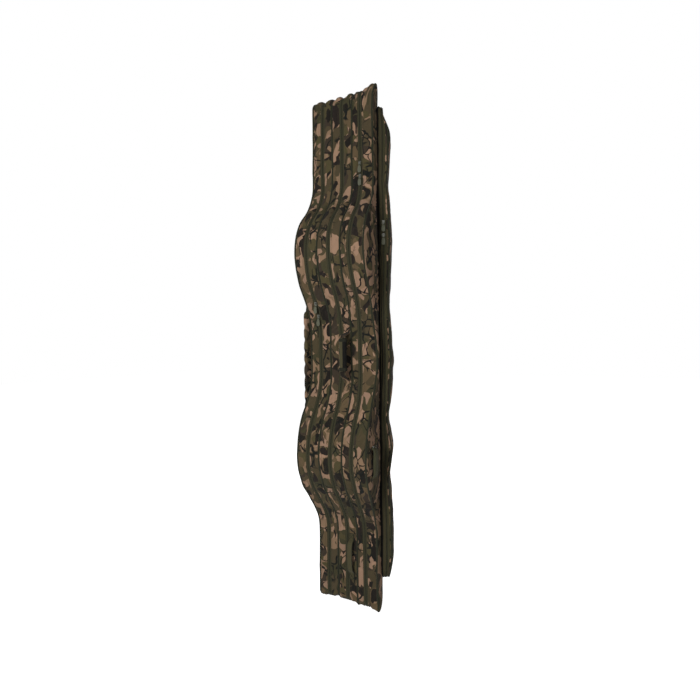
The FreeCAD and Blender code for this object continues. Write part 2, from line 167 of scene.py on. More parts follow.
def plan_x(share, y):
    """X of the leaf at a share of the half width, at y."""
    y = np.asarray(y, float)
    if abs(share) < 1e-6:
        return np.zeros_like(y)
    (x1, x2, x3), (y1, y2, y3) = [share * half for half in PLAN_HALF], PLAN_Y
    sides = np.array([[x2 - x1, y2 - y1], [x3 - x1, y3 - y1]]) * 2
    squares = np.array([x2 * x2 - x1 * x1 + y2 * y2 - y1 * y1, x3 * x3 - x1 * x1 + y3 * y3 - y1 * y1])
    middle = np.linalg.solve(sides, squares)
    radius = math.hypot(x1 - middle[0], y1 - middle[1])
    return middle[0] + math.copysign(1, share) * np.sqrt(radius ** 2 - (y - middle[1]) ** 2)


def plan_slope(share, y):
    """Angle in radians between a leaf and the Y axis at y."""
    return math.atan((plan_x(share, y - 1.0) - plan_x(share, y + 1.0)) / 2)


def side_y(z):
    """Y of the zip side at height z, without the rounded corners."""
    z = np.asarray(z, float)
    y = np.full_like(z, END_Y)
    for crest, below, above in ((CRESTS[0], (END_Y, END_RUN), (WAIST_Y, WAIST_RUN)),
                                (CRESTS[1], (WAIST_Y, WAIST_RUN), (END_Y, END_RUN))):
        for (level, run), away in ((below, crest - z), (above, z - crest)):
            depth = level - CREST_Y
            radius = (run ** 2 + depth ** 2) / (4 * depth)
            near = CREST_Y + radius - np.sqrt(radius ** 2 - np.clip(away, 0, run / 2) ** 2)
            far = level - radius + np.sqrt(radius ** 2 - (run - np.clip(away, run / 2, run)) ** 2)
            y = np.where((away >= 0) & (away <= run), np.where(away < run / 2, near, far), y)
    between = (z > CRESTS[0] + WAIST_RUN) & (z < CRESTS[1] - WAIST_RUN)
    return np.where(between, WAIST_Y, y)


def corner(y, z, radius, start, end):
    turn = np.radians(np.linspace(start, end, 60))
    return np.column_stack([y + radius * np.cos(turn), z + radius * np.sin(turn)])


def straight(a, b, count):
    """Even points from a to b, without the two ends."""
    return np.column_stack([np.linspace(*ends, count) for ends in zip(a, b)])[1:-1]


def outline(left, right, low, high, r, front, top, back, floor):
    """Close points up the zip side from the floor, over the top, down the spine side and back."""
    return np.vstack([
        corner(left + r, low + r, r, 270, 180), front,
        corner(left + r, high - r, r, 180, 90), straight((left + r, high), (right - r, high), top),
        corner(right - r, high - r, r, 90, 0), straight((right, high - r), (right, low + r), back),
        corner(right - r, low + r, r, 0, -90), straight((right - r, low), (left + r, low), floor)])


def path(loop, spacing, start, zip_end=None):
    """Evenly spaced points round a loop from the one nearest start. With zip_end, only where y is less."""
    first = int(np.argmin(np.hypot(loop[:, 0] - start[0], loop[:, 1] - start[1])))
    points = np.roll(loop, -first, axis=0)
    points = np.vstack([points, points[:1]]) if zip_end is None else points[points[:, 0] < zip_end]
    far = np.concatenate([[0], np.cumsum(np.hypot(*np.diff(points, axis=0).T))])
    s = np.linspace(0, far[-1], int(far[-1] / spacing) + 1)
    y, z = np.interp(s, far, points[:, 0]), np.interp(s, far, points[:, 1])
    along = np.hypot(np.gradient(y), np.gradient(z))
    return {"s": s, "y": y, "z": z, "ny": -np.gradient(z) / along, "nz": np.gradient(y) / along}


def stray(y, z, share):
    """How far the soft cloth strays from the plain profile: the fanned top, the drawn-in butt, the fuller
    slope under the lower bulge, the flared waist and the corners that stick out at both ends."""
    front = np.clip((SPINE_Y - y) / (SPINE_Y - END_Y), 0, 1.2)
    right = np.clip((share - 0.6) / 0.4, 0, 1)
    fan = ease((z - ZIP_3_END - 4) / 75) * np.clip(1 - share ** 2, 0, 1)
    flare = hump(z, 935, 175) * right * np.clip((-y - 34) / 40, 0, 1)
    high, low = ease((z - 1850) / 90) * front, ease((55 - z) / 55) * front
    butt = ease((470 - z) / 190) * (1 - share) / 2
    sway = 1.6 * noise2(z, share * 3 + 7, 5, 120, 1.0)
    hook = ease((z - 1900) / 38) * front * right
    dx = (13 * fan + 13 * butt + sway) * front + 11 * flare + (7 * high + 9 * low) * right + 11 * hook
    square = right * ease((25 - z) / 17) * np.clip((-y - 36) / 16, 0, 1)
    dy = -11 * hump(z, 385, 105) * front ** 2 + 8 * flare - 6 * (high + low) * right - 6 * square
    raised = 9 * ease((share - 0.1) / 0.5) + 13 * ease(right) - 6 * right ** 6 - 5 * hump(share, -0.3, 0.5)
    dz = (high * raised + 9 * low * hump(share, -0.35, 0.8) + 3.5 * (high + low) * noise2(share * 9, 0, 6, 1)
          - z * square)
    return dx, dy, dz


def bag_points(x, y, z, share):
    dx, dy, dz = stray(y, z, share)
    return placed(x + dx, y + dy, np.maximum(z + dz, 0.4))


def pocket_points(out, y, z):
    """Points given in the pocket's own plane, as metres in the CAD frame."""
    out, y, z = np.broadcast_arrays(out, y, z)
    top = 24 * ease((z - POCKET_END + 22) / 90)
    drawn_in = sum((deep * hump(z, at, half) for at, half, deep in POCKET_NIPS), 15 * ease((200 - z) / 95))
    loose = 2.4 * noise2(z, y, 98, 55, 80) * ease((z - 100) / 150) * (1 - hump(z, POCKET_END, 110))
    reach = np.clip(out / POCKET_LEVELS[-1], 0, 1.2) ** 1.5
    out = out - (drawn_in * (1 - hump(z, POCKET_END, 110)) - loose) * reach - top * reach ** 2
    z = z + ease((z - 1835) / 50) * (7 - 19 * reach) + 6 * reach * ease((150 - z) / 45)
    turn = math.radians(POCKET_TURN)
    start = float(plan_x(1, POCKET_SPINE_Y)) + PANEL / 2
    return placed(start + out * math.cos(turn) - y * math.sin(turn),
                  POCKET_SPINE_Y + out * math.sin(turn) + y * math.cos(turn), z)


def over(route, left, right, share, across, height):
    """Points over the bag's outline from X left to X right, at a height over it."""
    u = across[None, :]
    x = left[:, None] * (1 - u) + right[:, None] * u
    y = route["y"][:, None] + route["ny"][:, None] * height
    z = route["z"][:, None] + route["nz"][:, None] * height
    return bag_points(x, y, z, share[0] * (1 - u) + share[1] * u)


def over_pocket(route, low, high, across, height):
    u = across[None, :]
    out = low[:, None] * (1 - u) + high[:, None] * u
    return pocket_points(out, route["y"][:, None] + route["ny"][:, None] * height,
                         route["z"][:, None] + route["nz"][:, None] * height)


# ---------------------------------------------------------------- meshes

def mesh_object(name, points, faces, cloth, materials, which=None, sharp=35):
    """Object from points in metres, with the flat cloth coordinates that its weave and print follow."""
    mesh = bpy.data.meshes.new(name)
    mesh.from_pydata(points.tolist(), [], faces.tolist() if isinstance(faces, np.ndarray) else faces)
    if which is not None:
        mesh.polygons.foreach_set("material_index", np.asarray(which, np.int32))
    layer = mesh.attributes.new("cloth", "FLOAT_VECTOR", "POINT")
    layer.data.foreach_set("vector", np.asarray(cloth, np.float32).ravel())
    bm = bmesh.new()
    bm.from_mesh(mesh)
    bmesh.ops.recalc_face_normals(bm, faces=bm.faces)
    bm.to_mesh(mesh)
    bm.free()
    mesh.shade_smooth()
    mesh.set_sharp_from_angle(angle=math.radians(sharp))
    obj = bpy.data.objects.new(name, mesh)
    for material in materials:
        mesh.materials.append(material)
    bpy.context.scene.collection.objects.link(obj)
    return obj


def slab(name, outer, inner, a, b, seed, materials):
    """Closed solid between two grids of points. a and b are the cloth coordinates across and along."""
    rows, cols = outer.shape[:2]
    count = rows * cols
    at = np.arange(count).reshape(rows, cols)
    quads = lambda *corners: np.stack(corners, -1).reshape(-1, 4)
    top = quads(at[:-1, :-1], at[1:, :-1], at[1:, 1:], at[:-1, 1:])
    rim = np.concatenate([at[0, :-1], at[:-1, -1], at[-1, :0:-1], at[:0:-1, 0]])
    following = np.roll(rim, -1)
    sides = np.stack([rim, following, following + count, rim + count], -1)
    faces = np.vstack([top, top[:, ::-1] + count, sides])
    lining = np.full(len(top), min(1, len(materials) - 1))
    which = np.concatenate([np.zeros(len(top)), lining, np.zeros(len(sides))])
    a, b = np.broadcast_arrays(a, b)
    flat = np.stack([a / 1000, b / 1000, np.full(a.shape, seed * 3.7)], -1).reshape(-1, 3)
    points = np.vstack([outer.reshape(-1, 3), inner.reshape(-1, 3)])
    return mesh_object(name, points, faces, np.vstack([flat, flat]), materials, which)


def thread(name, middles, along, out, turns, profile, length, radius, look, cloth=None):
    """Stitches in metres: tapered rods with a ring of corners at every (reach, width) of their profile."""
    beside = np.cross(along, out)
    beside /= np.linalg.norm(beside, axis=1, keepdims=True)
    rings = [middles + along * reach * length / 2000
             + (beside * math.cos(turn) + out * math.sin(turn)) * radius * grow / 1000
             for reach, grow in profile for turn in turns]
    corners, n = np.stack(rings, 1).reshape(-1, 3), len(turns)
    shape = [[k * n + t, k * n + (t + 1) % n, k * n + (t + 1) % n + n, k * n + t + n]
             for k in range(3) for t in range(n)] + [list(range(n))[::-1], list(range(3 * n, 4 * n))]
    faces = [[corner + 4 * n * k for corner in face] for k in range(len(middles)) for face in shape]
    flat = corners[:, [1, 2, 0]] if cloth is None else np.tile(cloth, (len(middles), 1))
    return mesh_object(name, corners, faces, flat, [look], sharp=80)


def stitch_row(name, points, out, body, length=3.0, radius=0.4):
    """Row of stitches in the cloth, one for every point of a line in metres, each lying along it."""
    along = np.gradient(points, axis=0)
    along /= np.linalg.norm(along, axis=1, keepdims=True)
    made = thread(name, points, along, out, np.radians((45, 135, 225, 315)),
                  ((-1, 0.4), (-0.55, 1), (0.55, 1), (1, 0.4)), length, radius, THREAD)
    return finish_piece(made, body)


def stitches(name, lines, out, body, pitch=4.2, length=3.2, radius=0.6):
    """Stitches in webbing along straight lines, given by their ends in metres. out lifts them off it."""
    middles, ways = [], []
    for start, end in lines:
        span = np.linalg.norm(end - start) * 1000
        along = (end - start) / max(span, 1e-9) * 1000
        for k in range(max(1, int(span / pitch))):
            middles.append(start + along * (k + 0.5) * pitch / 1000)
            ways.append(along)
    profile = ((-1, 0.35), (-0.6, 1), (0.6, 1), (1, 0.35))
    cloth = [(turn * 0.0004, reach * length / 2000, 0.0) for reach, grow in profile for turn in range(6)]
    made = thread(name, np.array(middles), np.array(ways), np.asarray(out, float),
                  [turn * math.pi / 3 for turn in range(6)], profile, length, radius, DARK_THREAD, cloth)
    return finish_piece(made, body)


def finish_piece(obj, body, replaces=()):
    if isinstance(body, str):
        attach(obj, body)
    else:
        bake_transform(obj)
    if replaces:
        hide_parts(*replaces)
    return obj


def piece(name, outer, inner, a, b, seed, looks, body, replaces=()):
    """Slab that rides a body and stands for CAD nodes."""
    return finish_piece(slab(name, outer, inner, a, b, seed, looks), body, replaces)


def band(name, surface, height, depth, u, width, route, seed, look, body, replaces=()):
    """Narrow band woven along its route, from a depth below the bag's surface up to a height over it."""
    return piece(name, surface(height), surface(height * 0 - depth), u * width, route["s"][:, None], seed,
                 [look], body, replaces)


def half_round(u, share=0.97):
    """Height across a rounded band, from 0 to 1. A share below 1 leaves it some thickness at its edges."""
    return np.sqrt(1 - (2 * u - 1) ** 2 * share)[None, :]


def panel_grid(left, right, low, high, radius, rows, first, columns, near, softness):
    """Y and Z over a panel with rounded corners, and how soft it is from 0 at its sewn edge to 1."""
    end = radius * (1 - np.cos(np.linspace(first, math.pi / 2, rows)))
    z = np.concatenate([low + end, np.arange(low + radius + 6, high - radius - 3, 6.5), high - end[::-1]])
    inside = np.clip(np.minimum(z - low, high - z), 0, radius)
    cut = radius - np.sqrt(np.maximum(radius ** 2 - (radius - inside) ** 2, 0))
    left, right, v = (left(z) + cut)[:, None], (right - cut)[:, None], edged(columns, near)
    y = left * (1 - v) + right * v
    z = np.broadcast_to(z[:, None], y.shape)
    edge = np.minimum(np.minimum(y - left, right - y), np.minimum(z - low, high - z))
    return y, z, 1 - np.exp(-np.maximum(edge, 0) / softness)


def edged(count, near=0.02):
    """Shares from 0 to 1, closer together at both ends."""
    u = np.linspace(0, 1, count)
    return np.sort(np.concatenate([u, [near, 1 - near]]))


# ---------------------------------------------------------------- materials

def srgb(r, g, b):
    """Linear colour of 8-bit display values."""
    part = lambda v: v / 12.92 if v <= 0.04045 else ((v + 0.055) / 1.055) ** 2.4
    return (part(r / 255), part(g / 255), part(b / 255), 1.0)


class Look:
    """A material being built: its node tree and its shader."""

    def __init__(self, name, roughness, **shader):
        self.material = bpy.data.materials.new(name)
        self.material.use_nodes = True
        self.tree = self.material.node_tree
        self.shader = self.tree.nodes["Principled BSDF"]
        self.set(self.shader, {"Roughness": roughness, **shader})

    def set(self, node, values):
        for key, value in values.items():
            if isinstance(value, bpy.types.NodeSocket):
                self.tree.links.new(value, node.inputs[key])
            else:
                node.inputs[key].default_value = value

    def node(self, kind, values=None, **settings):
        node = self.tree.nodes.new("ShaderNode" + kind)
        for key, value in settings.items():
            setattr(node, key, value)
        self.set(node, values or {})
        return node

    def math(self, operation, a, b=0.0):
        return self.node("Math", {0: a, 1: b}, operation=operation).outputs[0]

    def add(self, a, b):
        return self.math("ADD", a, b)

    def mul(self, a, b):
        return self.math("MULTIPLY", a, b)

    def mix(self, share, a, b):
        return self.node("Mix", {0: share, 6: a, 7: b}, data_type="RGBA").outputs[2]

    def cloth(self):
        return self.node("Attribute", attribute_name="cloth").outputs["Vector"]

    def noise(self, vector, scale, detail=1.0, distortion=0.0, stretch=(1, 1, 1), place=(0, 0, 0)):
        moved = self.node("Mapping", {"Vector": vector, "Scale": stretch, "Location": place}).outputs[0]
        return self.node("TexNoise", {"Vector": moved, "Scale": scale, "Detail": detail,
                                      "Distortion": distortion}).outputs[0]

    def over(self, value, edge, soft=0.006):
        """1 where value is over the edge, with a crisp printed border."""
        return self.node("MapRange", {0: value, 1: edge - soft, 2: edge + soft}).outputs[0]

    def ribs(self, vector, pitch, axis):
        """Rounded ribs along one cloth axis, a pitch in metres apart, from 0 to 1."""
        part = self.node("SeparateXYZ", {0: vector}).outputs[axis]
        wave = self.math("SINE", self.mul(part, 2 * math.pi / pitch))
        return self.mul(self.add(wave, 1.0), 0.5)

    def bump(self, height, strength, distance):
        bump = self.node("Bump", {"Height": height, "Strength": strength, "Distance": distance})
        self.set(self.shader, {"Normal": bump.outputs[0]})

    def colour(self, socket):
        self.set(self.shader, {"Base Color": socket})

    def rough(self, value, low, high):
        """Roughness between low and high, following a value."""
        self.set(self.shader, {"Roughness": self.node("MapRange", {0: value, 3: low, 4: high}).outputs[0]})

    def parts(self, node):
        """Red, green and blue of a node's colour."""
        return self.node("SeparateColor", {0: node.outputs["Color"]}).outputs

    def worn(self, edge):
        """1 on outer edges, where cloth and castings wear lighter."""
        return self.over(self.node("NewGeometry").outputs["Pointiness"], edge, 0.03)


def camo_cloth():
    """Printed camouflage over a fine weave: angular patches, tan blobs cut by their edges, thin branches."""
    look = Look("camo_print", 0.85)
    look.set(look.shader, {"Sheen Weight": 0.03, "Sheen Roughness": 0.6, "Specular IOR Level": 0.06})
    cloth = look.cloth()
    drift = look.node("TexNoise", {"Vector": cloth, "Scale": 19.0, "Detail": 0.4}).outputs["Color"]
    warp = look.node("VectorMath", {0: drift, 1: (0.5, 0.5, 0.5)}, operation="SUBTRACT").outputs[0]
    warp = look.node("VectorMath", {0: warp, "Scale": 0.06}, operation="SCALE").outputs[0]
    bent = look.node("VectorMath", {0: cloth, 1: warp}, operation="ADD").outputs[0]

    def cells(scale, place, **settings):
        moved = look.node("Mapping", {"Vector": bent, "Scale": (1, 0.66, 1), "Location": place}).outputs[0]
        return look.node("TexVoronoi", {"Vector": moved, "Scale": scale}, **settings)

    shade = look.parts(cells(28.0, (1.3, 0.2, 0.7)))
    ramp = look.node("ValToRGB", {0: shade[0]})
    ramp.color_ramp.interpolation = "CONSTANT"
    stops = ((0.0, (75, 65, 47)), (0.25, (95, 79, 57)), (0.43, (62, 59, 40)), (0.6, (57, 48, 39)),
             (0.72, (32, 26, 24)), (0.89, (72, 63, 44)))
    for place, tone in stops[2:]:
        ramp.color_ramp.elements.new(place)
    for element, (place, tone) in zip(ramp.color_ramp.elements, stops):
        element.position, element.color = place, srgb(*tone)
    colour = ramp.outputs[0]
    blobs = look.noise(bent, 27, 0.6, 0.4, (1, 0.64, 1), (1.7, 8.8, 4))
    tan = look.mul(look.over(blobs, 0.528), look.over(look.mul(shade[1], -1.0), -0.68))
    colour = look.mix(tan, colour, look.mix(look.over(shade[2], 0.5), srgb(156, 125, 102),
                                            srgb(137, 111, 87)))
    small = look.parts(cells(40.0, (4.2, 3.1, 2.7)))
    colour = look.mix(look.over(small[0], 0.92), colour, srgb(76, 69, 45))
    colour = look.mix(look.over(small[1], 0.9), colour, srgb(24, 21, 19))
    colour = look.mix(look.over(small[2], 0.935), colour, srgb(148, 119, 98))
    for scale, width, place in ((16.0, 0.036, (2.2, 3.3, 1)), (27.0, 0.045, (7.1, 1.9, 5))):
        edge = cells(scale, place, feature="DISTANCE_TO_EDGE").outputs["Distance"]
        thin = look.over(look.mul(edge, -1.0), -width, 0.008)
        patchy = look.over(look.noise(cloth, 9, 1.0, 0.0, (1, 1, 1), place), 0.55, 0.02)
        colour = look.mix(look.mul(thin, patchy), colour, srgb(15, 19, 18))
    faded = look.noise(cloth, 6, 3.0)
    colour = look.mix(look.mul(faded, 0.3), colour, srgb(46, 41, 31))
    colour = look.mix(look.mul(look.worn(0.535), 0.1), colour, srgb(130, 116, 94))
    look.colour(colour)
    look.rough(faded, 0.78, 0.92)
    weave = look.math("MAXIMUM", look.ribs(cloth, 0.0011, 0), look.ribs(cloth, 0.0011, 1))
    broad = look.mul(look.noise(cloth, 30, 2.0, 1.2), 2.6)
    crease = look.add(look.noise(cloth, 90, 3.0, 0.4), broad)
    look.bump(look.add(look.mul(weave, 0.35), crease), 0.6, 0.0011)
    return look.material


def woven(name, low, high, pitch, axis=0, roughness=0.78, cross=0.0022):
    """Narrow woven goods: ribs along the band, small picks across it, and a slow change of shade."""
    look = Look(name, roughness)
    look.set(look.shader, {"Sheen Weight": 0.04, "Specular IOR Level": 0.1})
    cloth = look.cloth()
    ribs = look.ribs(cloth, pitch, axis)
    picks = look.ribs(cloth, cross, 1 - axis)
    shade = look.noise(cloth, 45, 3.0)
    look.colour(look.mix(look.mul(ribs, 0.75), srgb(*low), srgb(*high)))
    mixed = look.add(ribs, look.mul(picks, 0.5))
    look.bump(look.add(mixed, look.mul(shade, 0.6)), 0.6, 0.0006)
    look.rough(shade, roughness - 0.08, roughness + 0.08)
    return look.material


def moulded(name, low, high, roughness, metallic=0.0, grain=260.0, **shader):
    """Moulded or cast piece: fine grain, uneven shine, and edges worn lighter."""
    look = Look(name, roughness, Metallic=metallic, **shader)
    where = look.node("TexCoord").outputs["Object"]
    grains = look.noise(where, grain, 4.0)
    look.colour(look.mix(look.mul(look.worn(0.53), 0.4), look.mix(grains, srgb(*low), srgb(*high)),
                         srgb(*[min(255, v + 45) for v in high])))
    look.rough(grains, roughness - 0.1, roughness + 0.12)
    look.bump(grains, 0.25, 0.0003)
    return look.material


CAMO = camo_cloth()
LINING = woven("lining", (38, 38, 32), (56, 55, 46), 0.0016)
# Near-black cloth that is painted shade: it darkens the recess wall under the pocket and the carry handle wrap's
# side away from the light.
PAINTED_SHADE_CLOTH = woven("painted_shade_cloth", (10, 9, 7), (18, 16, 12), 0.0014)
BINDING_TAPE = woven("binding_weave", (32, 35, 24), (48, 50, 35), 0.0011, axis=1)
ZIP_WEAVE = woven("zip_weave", (46, 46, 31), (64, 61, 43), 0.0028)
POCKET_WEAVE = woven("pocket_zip_weave", (45, 42, 28), (80, 74, 52), 0.0038)
COVER_WEAVE = woven("pocket_cover_weave", (46, 45, 29), (84, 80, 56), 0.0038)
COIL = woven("coil_nylon", (37, 37, 26), (52, 51, 36), 0.0026, axis=1, roughness=0.6)
WEB = woven("heavy_webbing", (56, 53, 35), (84, 78, 55), 0.0022, cross=0.0031)
LOOP_WEB = woven("loop_webbing", (55, 55, 38), (80, 77, 55), 0.0016, cross=0.0022)
DARK_WEB = woven("dark_webbing", (26, 26, 19), (42, 41, 30), 0.0022, cross=0.0031)
DARK_THREAD = woven("dark_thread", (22, 22, 16), (36, 35, 26), 0.0006, axis=1)
THREAD = woven("thread", (52, 51, 35), (80, 76, 54), 0.0006, axis=1)
FOAM = moulded("closed_cell_foam", (34, 34, 30), (52, 51, 44), 0.9, grain=420.0,
               **{"Specular IOR Level": 0.1})
METAL = moulded("gunmetal", (60, 60, 55), (100, 100, 93), 0.34, 0.85)
RING_METAL = moulded("ring_metal", (120, 121, 114), (158, 158, 150), 0.42, 0.75)
RUBBER = moulded("tab_rubber", (68, 69, 56), (92, 93, 77), 0.6, **{"Specular IOR Level": 0.15})
BUCKLE = moulded("buckle_acetal", (30, 31, 25), (48, 48, 38), 0.42)


# ---------------------------------------------------------------- camera, lights, floor

def stage():
    scene = bpy.context.scene
    camera = bpy.data.objects.new("camera", bpy.data.cameras.new("camera"))
    scene.collection.objects.link(camera)
    scene.camera = camera
    camera.data.sensor_width = 36.0
    camera.data.lens = 28.75
    camera.data.shift_y = -0.0107
    camera.data.clip_start, camera.data.clip_end = 0.05, 60.0
    roll = math.radians(0.65)
    ahead = Vector((-0.5225, 0.8526, 0)).normalized()
    right, up = ahead.cross(Vector((0, 0, 1))), Vector((0, 0, 1))
    turned = (right * math.cos(roll) - up * math.sin(roll), up * math.cos(roll) + right * math.sin(roll),
              -ahead)
    camera.matrix_world = Matrix.Translation((1.138, -1.825, 0.997)) @ Matrix(turned).transposed().to_4x4()

    white = Look("floor_white", 0.6, **{"Base Color": (0.93, 0.93, 0.93, 1)})
    grain = white.noise(white.node("TexCoord").outputs["Object"], 60, 2.0)
    white.rough(grain, 0.55, 0.7)
    white.set(white.shader, {"Emission Color": (1, 1, 1, 1), "Emission Strength": 0.84})
    mesh = bpy.data.meshes.new("floor")
    mesh.from_pydata([(-14, -14, 0), (14, -14, 0), (14, 14, 0), (-14, 14, 0)], [], [(0, 1, 2, 3)])
    floor = bpy.data.objects.new("floor", mesh)
    mesh.materials.append(white.material)
    scene.collection.objects.link(floor)
    floor.visible_diffuse = False

    backdrop = Look("backdrop_white", 1.0, **{"Base Color": (0, 0, 0, 1), "Emission Color": (1, 1, 1, 1),
                                              "Emission Strength": 1.0, "Specular IOR Level": 0.0})
    mesh = bpy.data.meshes.new("backdrop")
    bm = bmesh.new()
    bmesh.ops.create_icosphere(bm, subdivisions=4, radius=20)
    bm.to_mesh(mesh)
    bm.free()
    dome = bpy.data.objects.new("backdrop", mesh)
    mesh.materials.append(backdrop.material)
    scene.collection.objects.link(dome)
    dome.visible_diffuse = dome.visible_glossy = dome.visible_shadow = dome.visible_transmission = False

    scene.view_settings.view_transform = "Standard"
    world = bpy.data.worlds.new("studio")
    scene.world = world
    world.use_nodes = True
    world.node_tree.nodes["Background"].inputs[0].default_value = (1, 1, 1, 1)
    world.node_tree.nodes["Background"].inputs[1].default_value = 0.25
    for name, place, size, power in (("key", (0.1, -3.1, 1.3), 1.0, 81), ("side", (2.9, -0.9, 1.4), 0.9, 16),
                                     ("back", (-0.8, 3.0, 1.8), 2.0, 26)):
        light = bpy.data.objects.new(name, bpy.data.lights.new(name, "AREA"))
        light.data.size = size
        light.data.energy = power
        light.location = place
        light.rotation_mode = "QUATERNION"
        light.rotation_quaternion = (Vector(place) - Vector((0, 0, 1))).to_track_quat("Z", "Y")
        scene.collection.objects.link(light)


# ---------------------------------------------------------------- leaves

def fold_lines(z, y, seed):
    """Diagonal folds that fan out round each reel bulge, as a share of their full height."""
    total = np.zeros(np.broadcast(z, y).shape)
    for number, crest in enumerate(CRESTS):
        for side in (-1, 1):
            mask = hump(z, crest + side * 150, 170)
            lines = np.sin((z - crest) * 2 * math.pi / 46 + side * (y + 150) * 2 * math.pi / 60
                           + 2.4 * noise2(z, y, seed + number, 60))
            total = total + mask * lines * (0.55 + 0.45 * noise2(z, y, seed + 7, 90))
    return 1.2 * (0.9 - 1.6 * np.abs(total))


def quilting(y, z):
    """Height from 0 to 1 of diamonds quilted into a lining by two sets of slanting seams."""
    seams = [np.abs(((y + side * z * 0.5) / 62) % 1 - 0.5) * 2 for side in (-1, 1)]
    return (np.minimum(1, (1 - seams[0]) * 4) * np.minimum(1, (1 - seams[1]) * 4)) ** 0.6


def make_leaf(number, name, share):
    """Padded panel: two cloth faces over foam, crowned between its sewn edges."""
    y, zz, soft = panel_grid(side_y, SPINE_Y, 0.0, HEIGHT, CORNER, 9, 0.02, 30, 0.012, 14)
    outside = name in ("rear_panel", "front_panel")
    sign = 1 if share > 0 else -1
    if outside:
        puff = soft * (4.2 + 1.8 * noise2(zz, y, 31 + number, 130) + 1.0 * noise2(zz, y, 33, 42))
        puff += soft * 3.0 * fold_lines(zz, y, 40 + number)
        if name == "front_panel":
            pleats = np.abs(np.sin((zz - 0.9 * y + 5 * noise2(zz, y, 38, 40)) * math.pi / 25)) ** 0.7
            puff += soft * hump(zz, 1235, 170) * ease((y + 110) / 50) * (5.0 * pleats - 2.6)
            pressed = hump(zz, LOOP_Z + 88, 90) * hump(y, LOOP_Y, 75)
        else:
            pressed = (hump(zz, STRAP_Z - 285, 95) + hump(zz, STRAP_Z + 285, 95)) * hump(y, STRAP_Y, 80)
        puff = puff * (1 - np.minimum(0.92, 1.8 * pressed))
        lining = soft * (3.0 * quilting(y, zz) - 0.8 + 0.5 * noise2(zz, y, 35, 60))
    else:
        puff = soft * (3.0 * quilting(y, zz) - 0.6 + 0.5 * noise2(zz, y, 36 + number, 50))
        lining = puff * 0.95
    x = plan_x(share, y)
    outer = bag_points(x + sign * (PANEL / 2 - 0.2 + puff), y, zz, share)
    inner = bag_points(x - sign * (PANEL / 2 - 0.2 + lining), y, zz, share)
    looks = [CAMO, LINING] if outside else [LINING]
    piece(f"{name}_padded", outer, inner, y, zz, 1 + number, looks, LEAF_BODIES[number], [name])


def make_binding(number, name, share):
    """Ribbed tape sewn over the edge of a leaf all the way round."""
    route = path(BAG_LOOP, 2.2, (0, 0))
    u = np.linspace(0, 1, 9)
    gathers = 0.35 * noise2(route["s"], 0, 50 + number, 3.4) + 0.5 * noise2(route["s"], 0, 51, 23)
    x = plan_x(share, route["y"]) + 0.9 * noise2(route["s"], 0, 52 + number, 34)
    half = BINDING_WIDTH / 2
    band(f"{name}_bound_edge", lambda lift: over(route, x - half, x + half, (share, share), u, lift),
         (BINDING + gathers)[:, None] * half_round(u), 1.6, u, BINDING_WIDTH, route, 1, BINDING_TAPE,
         LEAF_BODIES[number], [f"{name.replace('_panel', '')}_binding"])


# ---------------------------------------------------------------- compartments

def gusset_height(route, u, width, seed):
    """Puff, folds and seam puckers of a side wall, in millimetres over the outline."""
    s, z = route["s"][:, None], route["z"][:, None]
    t = u[None, :] * width[:, None]
    from_edge = np.minimum(t, width[:, None] - t)
    soft = 1 - np.exp(-from_edge / 5.5)
    flat_end = 1 - ease((np.abs(route["nz"]) - 0.5) / 0.4)[:, None]
    top = ((route["nz"] > 0.5) * 1.0)[:, None]
    floor = ((route["nz"] < -0.5) * 1.0)[:, None]
    puff = 3.4 * flat_end + 6.5 * top - 2.2 * floor
    puff = puff * (1 + 0.35 * noise2(s, 0, seed, 70))
    slant = 1 if seed % 2 else -1
    bend = hump(z, CRESTS[0], 330) + hump(z, CRESTS[1], 330)
    folds = 2.3 * bend * noise2(s + slant * t * 1.1, t, seed + 1, 15, 60)
    pinched = sum(deep * hump(z, at, half) for at, half, deep in GUSSET_NIPS)
    folds += pinched * (1.6 - 6.5 * np.abs(noise2(s + slant * t * 0.7, t, seed + 6, 17, 80)))
    slack = 1.5 * noise2(s, t, seed + 2, 40, 24) + 0.7 * noise2(s + t, t, seed + 3, 14, 20)
    gather = 0.75 * np.exp(-from_edge / 7) * noise2(s, 0, seed + 4, 4.6)
    return soft * (puff + folds + slack) + gather * np.minimum(1, from_edge / 1.5)


